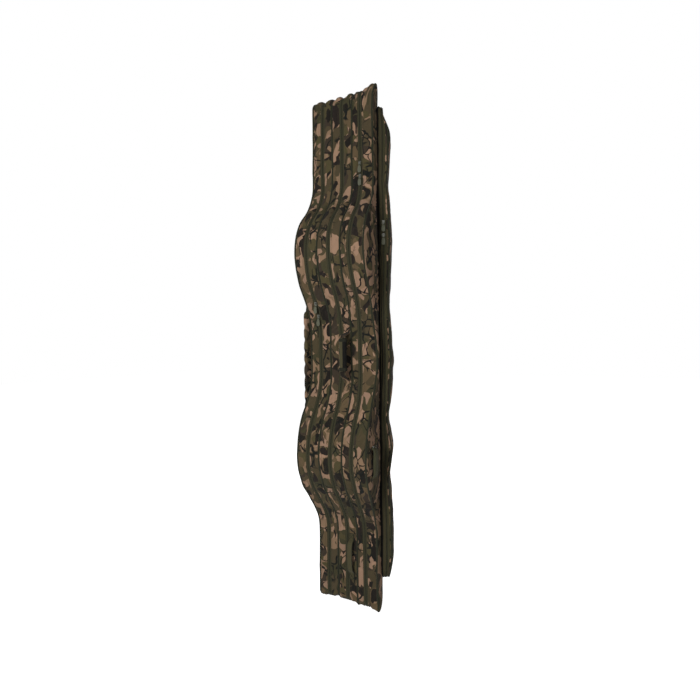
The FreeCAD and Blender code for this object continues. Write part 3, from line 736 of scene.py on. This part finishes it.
def make_gusset(number, side, leaf, share, sign):
    """Padded side wall from a leaf's edge to the zip, plain cloth round the spine."""
    route = path(BAG_LOOP, 4.0, (0, 0))
    middle = ZIPS[number]
    u = edged(13, 0.03)
    spine = ease((route["y"] - (TAPE_END_Y - 3)) / 5)
    left = plan_x(share, route["y"]) + sign * PANEL / 2 * 0.9
    right = plan_x(middle, route["y"]) - sign * (ZIP_GAP / 2 + (TAPE_WIDTH - 1.6) * (1 - spine))
    width = np.abs(right - left)
    seed = 60 + 10 * number + (side == "front") * 5
    height = gusset_height(route, u, width, seed)
    if (number, side) == (2, "front"):
        anchor = sum(HANDLE_ANCHORS) / 2
        sewn_ends = (GRAB_ENDS[0] + 13, GRAB_ENDS[1] - 13, HANDLE_Z - anchor, HANDLE_Z + anchor)
        sewn_down = sum(hump(route["z"], at, 34) for at in sewn_ends)
        height = height * (1 - 0.97 * np.minimum(1, 1.6 * sewn_down))[:, None]
    if number == 3:
        height = height * (1 - 0.85 * np.minimum(1, 1.6 * hump(route["z"], ZIP_3_END, 62)))[:, None]
    lip = 0.9 * np.exp(-((1 - u[None, :]) * width[:, None] / 3.0) ** 2) * (1 - spine)[:, None]
    outer = over(route, left, right, (share, middle), u, height + lip)
    inner = over(route, left, right, (share, middle), u, np.full(height.shape, -GUSSET) + 0.3 * height)
    across = u[None, :] * width[:, None]
    piece(f"gusset_{number}_{side}_cloth", outer, inner, across, route["s"][:, None], seed, [CAMO, LINING],
          LEAF_BODIES[leaf], [f"gusset_{number}_{side}"])
    sewn = outer[:, -5] * 0.5 + outer[:, -4] * 0.5
    way = outer[:, -5] - inner[:, -5]
    keep = (route["y"] < TAPE_END_Y - 4) & (outer[:, -5, 2] > 0.004)
    order = np.argsort(~keep, kind="stable")[:keep.sum()]
    start = int(np.argmax(np.diff(order) > 1)) + 1 if (np.diff(order) > 1).any() else 0
    order = np.roll(order, -start)
    way /= np.linalg.norm(way, axis=1, keepdims=True)
    stitch_row(f"gusset_{number}_{side}_stitches", sewn[order], way[order], LEAF_BODIES[leaf])


def coil_height(s, u, phase):
    """Nylon coil: rounded teeth, one every pitch."""
    tooth = 0.5 + 0.5 * np.cos(2 * math.pi * s[:, None] / COIL_PITCH + phase)
    return -0.5 + (0.5 + 0.85 * tooth ** 0.7) * np.sqrt(np.maximum(1 - (2 * u[None, :] - 1) ** 2, 0))


def make_zip_half(number, side, leaf, sign):
    """Flat woven tape, sunk below the cloth that is folded over its edge, and the coil along the tape."""
    middle = ZIPS[number]

    def along_zip(kind, spacing, near, width, count, height, depth, seed, look, replaces=()):
        route = path(BAG_LOOP, spacing, (SPINE_Y, HEIGHT / 2), TAPE_END_Y)
        u, centre = np.linspace(0, 1, count), plan_x(middle, route["y"])
        low, high = centre - sign * near, centre - sign * (near + width)
        band(f"zip_{number}_{side}_{kind}", lambda lift: over(route, low, high, (middle, middle), u, lift),
             height(route["s"], u), depth, u, width, route, seed, look, LEAF_BODIES[leaf], replaces=replaces)

    ribbed = lambda s, u: (-0.55 + 0.16 * np.cos(u * 5 * 2 * math.pi)[None, :]
                           + 0.25 * noise2(s, 0, number, 30)[:, None])
    toothed = lambda s, u: coil_height(s, u, 0.0 if sign > 0 else math.pi)
    along_zip("band", 5.0, ZIP_GAP / 2, TAPE_WIDTH, 12, ribbed, TAPE, number, ZIP_WEAVE,
              [f"zip_{number}_{side}_tape"])
    along_zip("coil", COIL_PITCH / 4, ZIP_GAP * 0.15, COIL_WIDTH, 5, toothed, 1.4, 1, COIL)


def make_spine_cover(number):
    """Narrow band sewn over the hinge line between two leaves."""
    z = np.arange(12, HEIGHT - 11, 8.0)
    u = np.linspace(0, 1, 9)
    centre = float(plan_x(ZIPS[number], SPINE_Y))
    x = centre + (u[None, :] - 0.5) * 16 + 0.5 * noise2(z, 0, number, 60)[:, None]
    lift = 0.4 + 1.1 * half_round(u, 0.96) + 0.15 * noise2(z, 0, 9, 9)[:, None]
    outer = bag_points(x, SPINE_Y + lift, z[:, None] + 0 * u, ZIPS[number])
    inner = bag_points(x, SPINE_Y - 0.6 + 0 * lift, z[:, None] + 0 * u, ZIPS[number])
    ends = [placed(centre + side * 7, SPINE_Y, 0).tolist() for side in (-1, 1)]
    piece(f"spine_band_{number}", outer, inner, u * 16, z[:, None], number, [BINDING_TAPE],
          (LEAF_BODIES[number - 1], LEAF_BODIES[number], *ends))


def strip(name, points, normals, width_axis, width, thickness, rides, replaces=(), ridge=0.35, seed=1,
          look=None):
    """Ribbed webbing along points in metres with their outward normals, its selvedges darker by default."""
    cols = 11
    u = np.linspace(-1, 1, cols)
    across = u * width / 2000
    edge = np.sqrt(np.maximum(1 - np.abs(u) ** 8, 0))
    rib = (ridge * np.cos(u * 3.5 * math.pi) * edge)[None, :, None] / 1000
    body = thickness / 2000 * (0.35 + 0.65 * edge)[None, :, None]
    base = points[:, None, :] + across[None, :, None] * width_axis[None, None, :]
    outer = base + normals[:, None, :] * (body + rib)
    inner = base - normals[:, None, :] * body
    s = np.concatenate([[0], np.cumsum(np.linalg.norm(np.diff(points, axis=0), axis=1))]) * 1000
    made = slab(name, outer, inner, (u * width / 2)[None, :], s[:, None], seed, [look or WEB])
    if look is None:
        made.data.materials.append(DARK_WEB)
        column = np.arange((len(points) - 1) * (cols - 1)) % (cols - 1)
        edges = np.concatenate([(column == 0) | (column == cols - 2)] * 2)
        which = np.zeros(len(made.data.polygons), np.int32)
        which[:len(edges)] = edges
        which[len(edges):] = 1
        made.data.polygons.foreach_set("material_index", which)
    return finish_piece(made, rides, replaces)


def smooth_line(corners, spacing=2.5, rounds=3):
    """Even points along a line whose corners are cut away several times over."""
    points = np.array(corners, float)
    for _ in range(rounds):
        a, b = points[:-1], points[1:]
        cut = np.stack([a * 0.75 + b * 0.25, a * 0.25 + b * 0.75], 1).reshape(-1, points.shape[1])
        points = np.vstack([points[:1], cut, points[-1:]])
    far = np.concatenate([[0], np.cumsum(np.linalg.norm(np.diff(points, axis=0), axis=1))])
    s = np.linspace(0, far[-1], max(3, int(far[-1] / spacing)))
    return np.stack([np.interp(s, far, points[:, k]) for k in range(points.shape[1])], -1)


def normals_of(points, width_axis):
    """Unit normals of a band: across both its run and its width."""
    along = np.gradient(points, axis=0)
    normal = np.cross(along, width_axis)
    return normal / np.linalg.norm(normal, axis=1, keepdims=True)


def box_x(centre, along, across, long, wide):
    """Lines of a box stitched with a cross, in metres."""
    corners = [centre + along * a * long / 2000 + across * b * wide / 2000
               for a, b in ((-1, -1), (-1, 1), (1, 1), (1, -1))]
    sides = [(corners[k], corners[(k + 1) % 4]) for k in range(4)]
    return sides + [(corners[0], corners[2]), (corners[1], corners[3])]


# ---------------------------------------------------------------- pocket

def panel_out(y):
    """How far out of the pocket's plane the front panel lies at y along it."""
    out = np.zeros_like(np.asarray(y, float))
    turn = math.radians(POCKET_TURN)
    start = float(plan_x(1, POCKET_SPINE_Y)) + PANEL / 2
    for _ in range(12):
        x = start + out * math.cos(turn) - y * math.sin(turn)
        across = POCKET_SPINE_Y + out * math.sin(turn) + y * math.cos(turn)
        out = out + (plan_x(1, across) + PANEL / 2 - x) / math.cos(turn)
    return out


def pocket_slump(route, out, seed):
    """Slack of the pocket's walls: broad waves, crossing creases, and crumpled rounded ends."""
    s = route["s"][:, None]
    ends = (ease((route["z"] - 1640) / 200) + 0.5 * ease((330 - route["z"]) / 190))[:, None]
    broad = 2.6 * noise2(s, out, seed, 120, 60) + 1.1 * noise2(s, out, seed + 1, 34, 30)
    crumple = (1.6 + 1.6 * ends) * noise2(s + out * 1.3, out, seed + 2, 17, 26)
    pressed = np.minimum(1, 1.6 * hump(route["z"], POCKET_END, 75))[:, None]
    return (broad * (0.7 + ends) + 0.6 * crumple) * (1 - 0.95 * pressed)


def pocket_band(name, low, high, count, height, depth, route, seed, looks, node, body):
    u = edged(count, 0.04)
    out = low[:, None] * (1 - u) + high[:, None] * u
    lifted = height(route, u, out)
    outer = over_pocket(route, low, high, u, lifted)
    inner = over_pocket(route, low, high, u, lifted * 0.4 - depth)
    piece(name, outer, inner, out, route["s"][:, None], seed, looks, body, [node])


def make_pocket():
    base, seam, tape, cloth, cover = POCKET_LEVELS
    full = path(POCKET_LOOP, 4.0, (0, POCKET_Z[0] + 300))
    zipped = path(POCKET_LOOP, 4.0, (0, HEIGHT / 2), POCKET_HINGE_Y)
    teeth = path(POCKET_LOOP, COIL_PITCH / 4, (0, HEIGHT / 2), POCKET_HINGE_Y)
    hinge = ease((full["y"] - (POCKET_HINGE_Y - 3)) / 5)
    flat = lambda value, route: np.full(len(route["s"]), float(value))
    domed = lambda u, power: 1 - (2 * u[None, :] - 1) ** power
    wall = lambda route, u, out: (0.8 + pocket_slump(route, out, 93)) * domed(u, 4)

    def fold(route, u, out):
        sunk = 0.8 + 0.6 * pocket_slump(route, out, 90) - 5 * np.sin(u * math.pi)[None, :]
        return sunk * domed(u, 4) + 1.1 * ease((u[None, :] - 0.8) / 0.15) * (1 - hinge)[:, None]

    def ribbed(route, u, out):
        ribs = 0.8 * np.cos(u * 4 * 2 * math.pi)[None, :] * (1 + 0 * out)
        return -0.2 + ribs + 0.35 * pocket_slump(route, out, 91) * domed(u, 2)

    lapped = 6.5 * hump(full["z"], 1080, 620) + 1.2 * noise2(full["s"], 0, 99, 38)
    fold_end = base - 3.5 + lapped * (1 - hinge) + (seam - base + 3.5) * hinge
    # The pocket's base wall takes the near-black cloth as painted shade of the deep recess between the front
    # panel and the pocket.
    pocket_band("pocket_base_cloth", panel_out(full["y"]) - 2.5, fold_end, 12, fold, POCKET_WALL, full, 21,
                [PAINTED_SHADE_CLOTH], "pocket_base_gusset", "front_leaf")
    pocket_band("pocket_base_band", flat(base - 4.0, zipped), flat(seam, zipped), 14, ribbed, TAPE, zipped,
                22, [POCKET_WEAVE], "pocket_base_tape", "front_leaf")
    pocket_band("pocket_cover_band", flat(seam + ZIP_GAP, zipped), flat(tape + 1.5, zipped), 14, ribbed, TAPE,
                zipped, 23, [COVER_WEAVE], "pocket_cover_tape", "pocket_lid")
    for name, low, phase, body in (("base", seam - COIL_WIDTH + 0.2, 0.0, "front_leaf"),
                                   ("cover", seam + ZIP_GAP - 0.2, math.pi, "pocket_lid")):
        u = np.linspace(0, 1, 5)
        height = coil_height(teeth["s"], u, phase) + 0.35
        ends = flat(low, teeth), flat(low + COIL_WIDTH, teeth)
        band(f"pocket_{name}_coil", lambda lift: over_pocket(teeth, *ends, u, lift), height, 1.2, u,
             COIL_WIDTH, teeth, 1, COIL, body)
    low = tape + (seam + ZIP_GAP - tape) * hinge
    pocket_band("pocket_cover_wall", low, flat(cloth + 1.5, full), 8, wall, POCKET_WALL, full, 24,
                [CAMO, LINING], "pocket_cover_gusset", "pocket_lid")

    y, zz, soft = panel_grid(lambda z: -POCKET_WIDTH, 0.0, *POCKET_Z, POCKET_CORNER, 10, 0.03, 20, 0.02, 13)
    crown = soft * (5.0 + 2.2 * noise2(zz, y, 94, 110) + 1.3 * noise2(zz + y, y, 95, 24, 50)
                    + 0.8 * noise2(zz - y, y, 96, 13, 40))
    piece("pocket_cover_padded", pocket_points(cover + crown, y, zz),
          pocket_points(cloth + 0.25 * crown, y, zz), y, zz, 25, [CAMO, LINING], "pocket_lid",
          ["pocket_cover"])

    route = path(POCKET_LOOP, 2.2, (0, POCKET_Z[0] + 300))
    u = np.linspace(0, 1, 9)
    middle, half = (cloth + cover) / 2, BINDING_WIDTH / 2
    height = (BINDING + 0.4 * noise2(route["s"], 0, 97, 3.4))[:, None] * half_round(u)
    ends = flat(middle - half, route), flat(middle + half, route)
    band("pocket_bound_edge", lambda lift: over_pocket(route, *ends, u, lift), height, 1.5, u, BINDING_WIDTH,
         route, 2, BINDING_TAPE, "pocket_lid", ["pocket_binding"])


# ---------------------------------------------------------------- handles and straps

X_WAY, Y_WAY, UP = np.eye(3)


def skin(z, lift):
    """(y, z) on the zip side at height z, a distance off it."""
    return (float(side_y(z)) - lift, z)


def make_carry_handle():
    """One piece of webbing sewn down at both ends, with a padded wrap round its middle, its side away from the
    light painted near black as shade.
    """
    near, far = HANDLE_ANCHORS
    lift = WEBBING / 2 + 0.3
    sewn = (far, (near + far) / 2, near)
    line = smooth_line([skin(HANDLE_Z + at, lift) for at in sewn]
                       + [(-94, HANDLE_Z + 88), (HANDLE_OUT, HANDLE_Z + 80), (HANDLE_OUT, HANDLE_Z - 60),
                          (-92.5, HANDLE_Z - 84)] + [skin(HANDLE_Z - at, lift) for at in sewn[::-1]])
    points = placed(HANDLE_X, line[:, 0], line[:, 1])
    ends = [placed(HANDLE_X, y, HANDLE_Z).tolist() for y in (WAIST_Y - 4, WAIST_Y - 12.5)]
    strip("carry_handle_band", points, normals_of(points, X_WAY), X_WAY, HANDLE_WIDTH, WEBBING,
          ("leaf_2", "carry_handle", *ends), ["carry_handle_webbing", "carry_handle_anchors"], seed=31,
          look=CAMO)
    for name, side in (("upper", 1), ("lower", -1)):
        z = HANDLE_Z + side * (near + far) / 2
        centre = placed(HANDLE_X, float(side_y(z)) - WEBBING - 0.75, z)
        lean = (float(side_y(z + 8)) - float(side_y(z - 8))) / 16
        along = np.array([0.0, lean, 1.0]) / math.hypot(lean, 1)
        stitches(f"carry_handle_{name}_stitches",
                 box_x(centre, along, X_WAY, far - near - 7, HANDLE_WIDTH - 6), -Y_WAY, "leaf_2")

    wide, deep, tall = WRAP
    z = np.concatenate([[-tall / 2], -tall / 2 + 4 * (1 - np.cos(np.linspace(0.3, 1.57, 4))),
                        np.linspace(-tall / 2 + 7, tall / 2 - 7, 40),
                        tall / 2 - 4 * (1 - np.cos(np.linspace(1.57, 0.3, 4))), [tall / 2]])
    dents = (0.35 * noise2(z[:, None], np.arange(49)[None, :], 101, 13, 6)
             + 0.5 * noise2(z, 0, 102, 30)[:, None])
    squeeze = 1 - 0.3 * np.exp(-(tall / 2 - np.abs(z)) / 3.0)
    made = sleeve("carry_handle_padding", z, (wide - 4) / 2 * squeeze[:, None] + dents,
                  (deep - 3) / 2 * squeeze[:, None] + dents, 3.2, [WEB, LINING, PAINTED_SHADE_CLOTH])
    # Faces of the wrap on its +X side take the near-black cloth: painted shade on the side of the wrap away from
    # the light.
    for face in made.data.polygons:
        if face.material_index == 0 and face.center.x > (HANDLE_X + WRAP_ASIDE + 1.5) / 1000 + MOVE[0]:
            face.material_index = 2
    finish_piece(made, "carry_handle", ["carry_handle_wrap"])
    for name, middle in (("upper", tall / 2 - 8), ("lower", 8 - tall / 2)):
        z = middle + 6 * np.sin(np.linspace(-math.pi / 2, math.pi / 2, 13))
        swell = 1.3 * np.sqrt(np.maximum(1 - ((z - middle) / 6.2) ** 2, 0))[:, None] + 0.3
        made = sleeve(f"carry_handle_{name}_keeper", z, (wide - 3) / 2 + swell + np.zeros((1, 49)),
                      (deep - 2) / 2 + swell + np.zeros((1, 49)), 1.2, [DARK_WEB])
        finish_piece(made, "carry_handle")


def sleeve(name, z, radius_x, radius_y, wall, looks):
    """Flattened tube of cloth round the carry handle, its two edges lapped over one another."""
    turn = np.linspace(0.06, 2 * math.pi - 0.06, 49)
    lap = 1.1 * ease((turn - 5.2) / 0.5)[None, :]
    rounded = lambda a: (np.sign(a) * np.abs(a) ** 0.75)[None, :]
    rings = [placed(HANDLE_X + WRAP_ASIDE + (radius_x + lap - inset) * rounded(np.cos(turn)),
                    HANDLE_OUT + (radius_y + lap - inset) * rounded(np.sin(turn)),
                    HANDLE_Z + WRAP_RISE + z[:, None]) for inset in (0, wall)]
    return slab(name, *rings, turn[None, :] * 13, z[:, None], 32, looks)


def make_grab_strap():
    """Flat strap near the butt, standing off the cloth between its sewn ends."""
    low, high = GRAB_ENDS
    lift = WEBBING / 2 + 0.3
    line = smooth_line([skin(low + at, lift) for at in (0, 14, 25)]
                       + [(-73, low + 36), (-78, low + 48), (-79, low + 88), (-78, high - 46),
                          (-73, high - 32)]
                       + [skin(high - at, lift) for at in (25, 14, 0)])
    points = placed(GRAB_X, line[:, 0], line[:, 1])
    strip("grab_strap_band", points, normals_of(points, X_WAY), X_WAY, GRAB_WIDTH, WEBBING, "leaf_2",
          ["grab_strap"], seed=33)
    for name, z in (("upper", high - 13), ("lower", low + 13)):
        centre = placed(GRAB_X, END_Y - WEBBING - 0.75, z)
        stitches(f"grab_strap_{name}_stitches",
                 box_x(centre, UP, X_WAY, 22, GRAB_WIDTH - 5), -Y_WAY, "leaf_2", radius=0.9)


def face_frame(share, y, side):
    """Foot, outward way and sideways way of a leaf's outer face at y, in metres and unit vectors."""
    slope = plan_slope(share, y)
    foot = placed(float(plan_x(share, y)) + side * PANEL / 2, y, 0)
    out = np.array([side * math.cos(slope), side * math.sin(slope), 0])
    beside = np.array([-math.sin(slope), math.cos(slope), 0])
    return foot, out, beside


def face_line(share, y, side, corners, spacing=2.5, rounds=3):
    """Line over a leaf's face through (out, z) corners in millimetres, its normals and its width way."""
    foot, out, beside = face_frame(share, y, side)
    line = smooth_line(corners, spacing, rounds)
    points = foot + (line[:, :1] * out + line[:, 1:] * UP) / 1000
    normals = normals_of(points, beside)
    middle = len(points) // 2
    if normals[middle] @ out < 0:
        normals = -normals
    return points, normals, beside


def make_side_loop():
    """Tall loop of webbing on the front panel, and the sleeve of webbing that holds its ring."""
    raised = [(1.6, -57), (1.6, -49), (9, -47), (13, -40), (15, -22), (15.5, 28), (14.5, 47), (10, 54),
              (1.6, 56), (1.6, 61)]
    points, normals, beside = face_line(1, LOOP_Y, 1, [(o + 2.2, LOOP_Z + z) for o, z in raised], 2.0)
    points = points - beside * 0.012
    puff = np.sqrt(np.maximum(1 - (np.linspace(-1, 1, len(points)) / 0.93) ** 2, 0))
    strip("side_loop_band", points - normals * puff[:, None] * 0.0035, normals * (1 + 2.6 * puff)[:, None],
          beside, LOOP_WIDTH + 5, WEBBING + 0.6, "front_leaf", ["side_loop"], ridge=0.12, seed=35, look=LOOP_WEB)
    z0 = LOOP_Z + 61
    fold_round = [(5 + 4.0 * math.cos(a), z0 + 4.0 * math.sin(a)) for a in np.linspace(-1.9, 1.9, 13)]
    points, normals, beside = face_line(1, LOOP_Y, 1, [(1.7, z0 - 13), (2.2, z0 - 6)] + fold_round, 1.2, 2)
    strip("side_ring_sleeve", points, normals, beside, 18.0, 1.6, "front_leaf", seed=36)
    foot, out, beside = face_frame(1, LOOP_Y, 1)
    lines = [[foot + (out * 5.4 + UP * (LOOP_Z + end) + beside * away) / 1000 for away in (-10, 10)]
             for end in (-55, -52, 55, 58)]
    stitches("side_loop_stitches", lines, out, "front_leaf", pitch=3.4, length=2.6)


def make_shoulder_strap():
    """Padded shoulder strap: webbing through a pad that bar tacks pull in along its length."""
    foot, out, beside = face_frame(-1, STRAP_Y, -1)
    low, high, wide, tall = PAD
    z = np.concatenate([np.linspace(-tall / 2, -tall / 2 + 12, 7),
                        np.arange(-tall / 2 + 15, tall / 2 - 14, 3.5),
                        np.linspace(tall / 2 - 12, tall / 2, 7)])
    v = edged(18, 0.03) * 2 - 1
    tacks = sum(hump(z, at, 15) for at in TACKS)
    end = np.sqrt(np.maximum(1 - np.clip((np.abs(z) - tall / 2 + 18) / 18, 0, 0.985) ** 2, 0))
    half = wide / 2 * (0.6 + 0.4 * end) * (1 - 0.07 * tacks) + 0.8 * noise2(z, 0, 111, 34)
    soft = np.sqrt(np.maximum(1 - np.abs(v) ** 5, 0))
    crown = (2.5 + (7.0 - 4.5 * tacks[:, None]) * end[:, None]) * soft[None, :]
    crown = crown + 0.6 * noise2(z[:, None], v[None, :] * 20, 112, 14)
    beside_mm, zz = half[:, None] * v[None, :], z[:, None] + 0 * v[None, :]
    middle = (low + high) / 2
    at = lambda o: foot + (o[..., None] * out + beside_mm[..., None] * beside
                           + (STRAP_Z + zz)[..., None] * UP) / 1000
    piece("strap_pad_cushion", at(middle + crown), at(middle - crown), beside_mm, zz, 41, [CAMO],
          "shoulder_strap", ["strap_pad"])
    rise = [(11, 298), (11, 284), (12.5, 268), (25, 222), (29, 200)]
    corners = [(o, STRAP_Z + z) for o, z in rise + [(29, 0)]] + [(o, STRAP_Z - z) for o, z in rise[::-1]]
    strip("strap_band", *face_line(-1, STRAP_Y, -1, corners, 3.0), STRAP_WIDTH, WEBBING, "shoulder_strap",
          ["strap_webbing"], seed=42, look=DARK_WEB)
    lines = []
    for at_z in TACKS:
        for row in (-3, 0, 3):
            centre = foot + (out * 34.3 + UP * (STRAP_Z + at_z + row)) / 1000
            lines.append((centre - beside * 0.015, centre + beside * 0.015))
    stitches("strap_bar_tacks", lines, out, "shoulder_strap", pitch=3.0, length=2.4)


def make_rod_straps(number):
    """Two bands of webbing across the inside of a compartment."""
    share, leaf = list(LEAVES.values())[number - 1], LEAF_BODIES[number - 1]
    for name, z in ROD_STRAPS.items():
        y = np.linspace(-40, 25, 28)
        x = plan_x(share, y) + PANEL / 2 + 3.2 + 2.4 * np.sin((y + 40) / 65 * math.pi)
        v = np.linspace(-1, 1, 15)
        lift = 1.2 + 0.25 * np.cos(v * 5 * math.pi)[None, :] + 0 * y[:, None]
        zz = z + v[None, :] * 19 + 0 * y[:, None]
        outer = bag_points(x[:, None] + lift, y[:, None] + 0 * zz, zz, share)
        inner = bag_points(x[:, None] - 1.1 + 0 * lift, y[:, None] + 0 * zz, zz, share)
        piece(f"rod_strap_{number}_{name}", outer, inner, zz, y[:, None] + 0 * zz, 51 + number, [WEB], leaf,
              [f"rod_straps_{number}"])


# ---------------------------------------------------------------- remoulded CAD shapes

def remoulded(name, new, voxel, look, body, rounds=6, shape=None):
    """Rounded copy of a CAD solid: voxel remesh, then smoothing, then an optional change of its points."""
    source = frame["nodes"][name]
    obj = bpy.data.objects.new(new, source.data.copy())
    bpy.context.scene.collection.objects.link(obj)
    remesh = obj.modifiers.new("remesh", "REMESH")
    remesh.mode, remesh.voxel_size = "VOXEL", voxel
    smooth = obj.modifiers.new("smooth", "SMOOTH")
    smooth.iterations, smooth.factor = rounds, 0.5
    graph = bpy.context.evaluated_depsgraph_get()
    mesh = bpy.data.meshes.new_from_object(obj.evaluated_get(graph))
    bpy.data.objects.remove(obj)
    obj = bpy.data.objects.new(new, mesh)
    bpy.context.scene.collection.objects.link(obj)
    count = len(mesh.vertices)
    flat = np.zeros(count * 3)
    mesh.vertices.foreach_get("co", flat)
    points = flat.reshape(-1, 3)
    if shape is not None:
        points = shape(points)
        mesh.vertices.foreach_set("co", points.ravel())
    layer = mesh.attributes.new("cloth", "FLOAT_VECTOR", "POINT")
    layer.data.foreach_set("vector", points[:, [1, 2, 0]].astype(np.float32).ravel())
    mesh.materials.clear()
    mesh.materials.append(look)
    mesh.polygons.foreach_set("material_index", np.zeros(len(mesh.polygons), np.int32))
    mesh.shade_smooth()
    mesh.update()
    return finish_piece(obj, body, [name])


def leaf_shaped(turn):
    """Shaping of a pull tab: narrow at its arms, broad below, with grip ridges on its face."""
    def shape(points):
        low, high = points.min(0), points.max(0)
        middle = (low + high) / 2
        side = np.array([math.cos(turn), math.sin(turn), 0])
        face = np.array([-math.sin(turn), math.cos(turn), 0])
        down = (high[2] - points[:, 2]) / (high[2] - low[2])
        off, deep = (points - middle) @ side, (points - middle) @ face
        swell = 0.72 + 0.5 * np.sin(np.clip((down - 0.25) / 0.75, 0, 1) * math.pi * 0.72)
        broad = np.where(down < 0.3, 1.0, swell)
        ridge = 0.00028 * np.sin(down * 2 * math.pi * 9) * hump(down, 0.68, 0.26)
        thick = np.where(down > 0.3, 1.0 + 0.35 * hump(down, 0.7, 0.35), 1.0)
        return (points + np.outer(off * (broad - 1), side)
                + np.outer((deep * (thick - 1) + np.sign(deep) * ridge) * (down > 0.3), face))
    return shape


def make_hardware():
    """Rounded pull tabs, and the metal and moulded pieces that keep their CAD shapes."""
    for zip_name in ("zip_1", "zip_2", "zip_3", "pocket_zip"):
        turn = math.radians(POCKET_TURN) if zip_name == "pocket_zip" else 0.0
        for end in ("upper", "lower"):
            tab, slider = f"{zip_name}_{end}_tab", f"{zip_name}_{end}_slider"
            remoulded(tab, f"{tab}_moulded", 0.00055, RUBBER, tab, 4, leaf_shaped(turn))
            metal_piece(slider, METAL, 0.0006)
    for name in ("side_ring", "strap_rings"):
        metal_piece(name, RING_METAL, 0.0)
    metal_piece("strap_hooks", RING_METAL, 0.0008)
    metal_piece("strap_adjuster", BUCKLE, 0.0012)
    remoulded("strap_ring_tabs", "strap_ring_webbing", 0.0007, DARK_WEB, "rear_leaf", 2)
    for number in (1, 2, 3):
        remoulded(f"butt_pad_{number}", f"butt_pad_{number}_foam", 0.0028, FOAM, LEAF_BODIES[number - 1],
                  5, None)


def metal_piece(name, look, bevel):
    obj = frame["nodes"][name]
    obj.data.materials.clear()
    obj.data.materials.append(look)
    if bevel:
        rounding = obj.modifiers.new("edges", "BEVEL")
        rounding.width, rounding.segments, rounding.limit_method = bevel, 2, "ANGLE"
        rounding.angle_limit = math.radians(40)


# ---------------------------------------------------------------- the bag

stage()
front_z = np.arange(CORNER, HEIGHT - CORNER, 1.0)
bag_front = np.column_stack([side_y(front_z), front_z])[1:]
BAG_LOOP = outline(END_Y, SPINE_Y, 0, HEIGHT, CORNER, bag_front, 2, 1800, 80)
pocket_front = straight((-POCKET_WIDTH, POCKET_Z[0] + POCKET_CORNER),
                        (-POCKET_WIDTH, POCKET_Z[1] - POCKET_CORNER), 1600)
POCKET_LOOP = outline(-POCKET_WIDTH, 0.0, *POCKET_Z, POCKET_CORNER, pocket_front, 22, 1600, 22)
for index, (leaf_name, leaf_share) in enumerate(LEAVES.items()):
    make_leaf(index, leaf_name, leaf_share)
    make_binding(index, leaf_name, leaf_share)
for zip_number in ZIPS:
    shares = list(LEAVES.values())
    for leaf_index, side_name, way in ((zip_number - 1, "rear", 1), (zip_number, "front", -1)):
        make_gusset(zip_number, side_name, leaf_index, shares[leaf_index], way)
        make_zip_half(zip_number, side_name, leaf_index, way)
    make_spine_cover(zip_number)
    make_rod_straps(zip_number)
make_pocket()
make_carry_handle()
make_grab_strap()
make_side_loop()
make_shoulder_strap()
make_hardware()
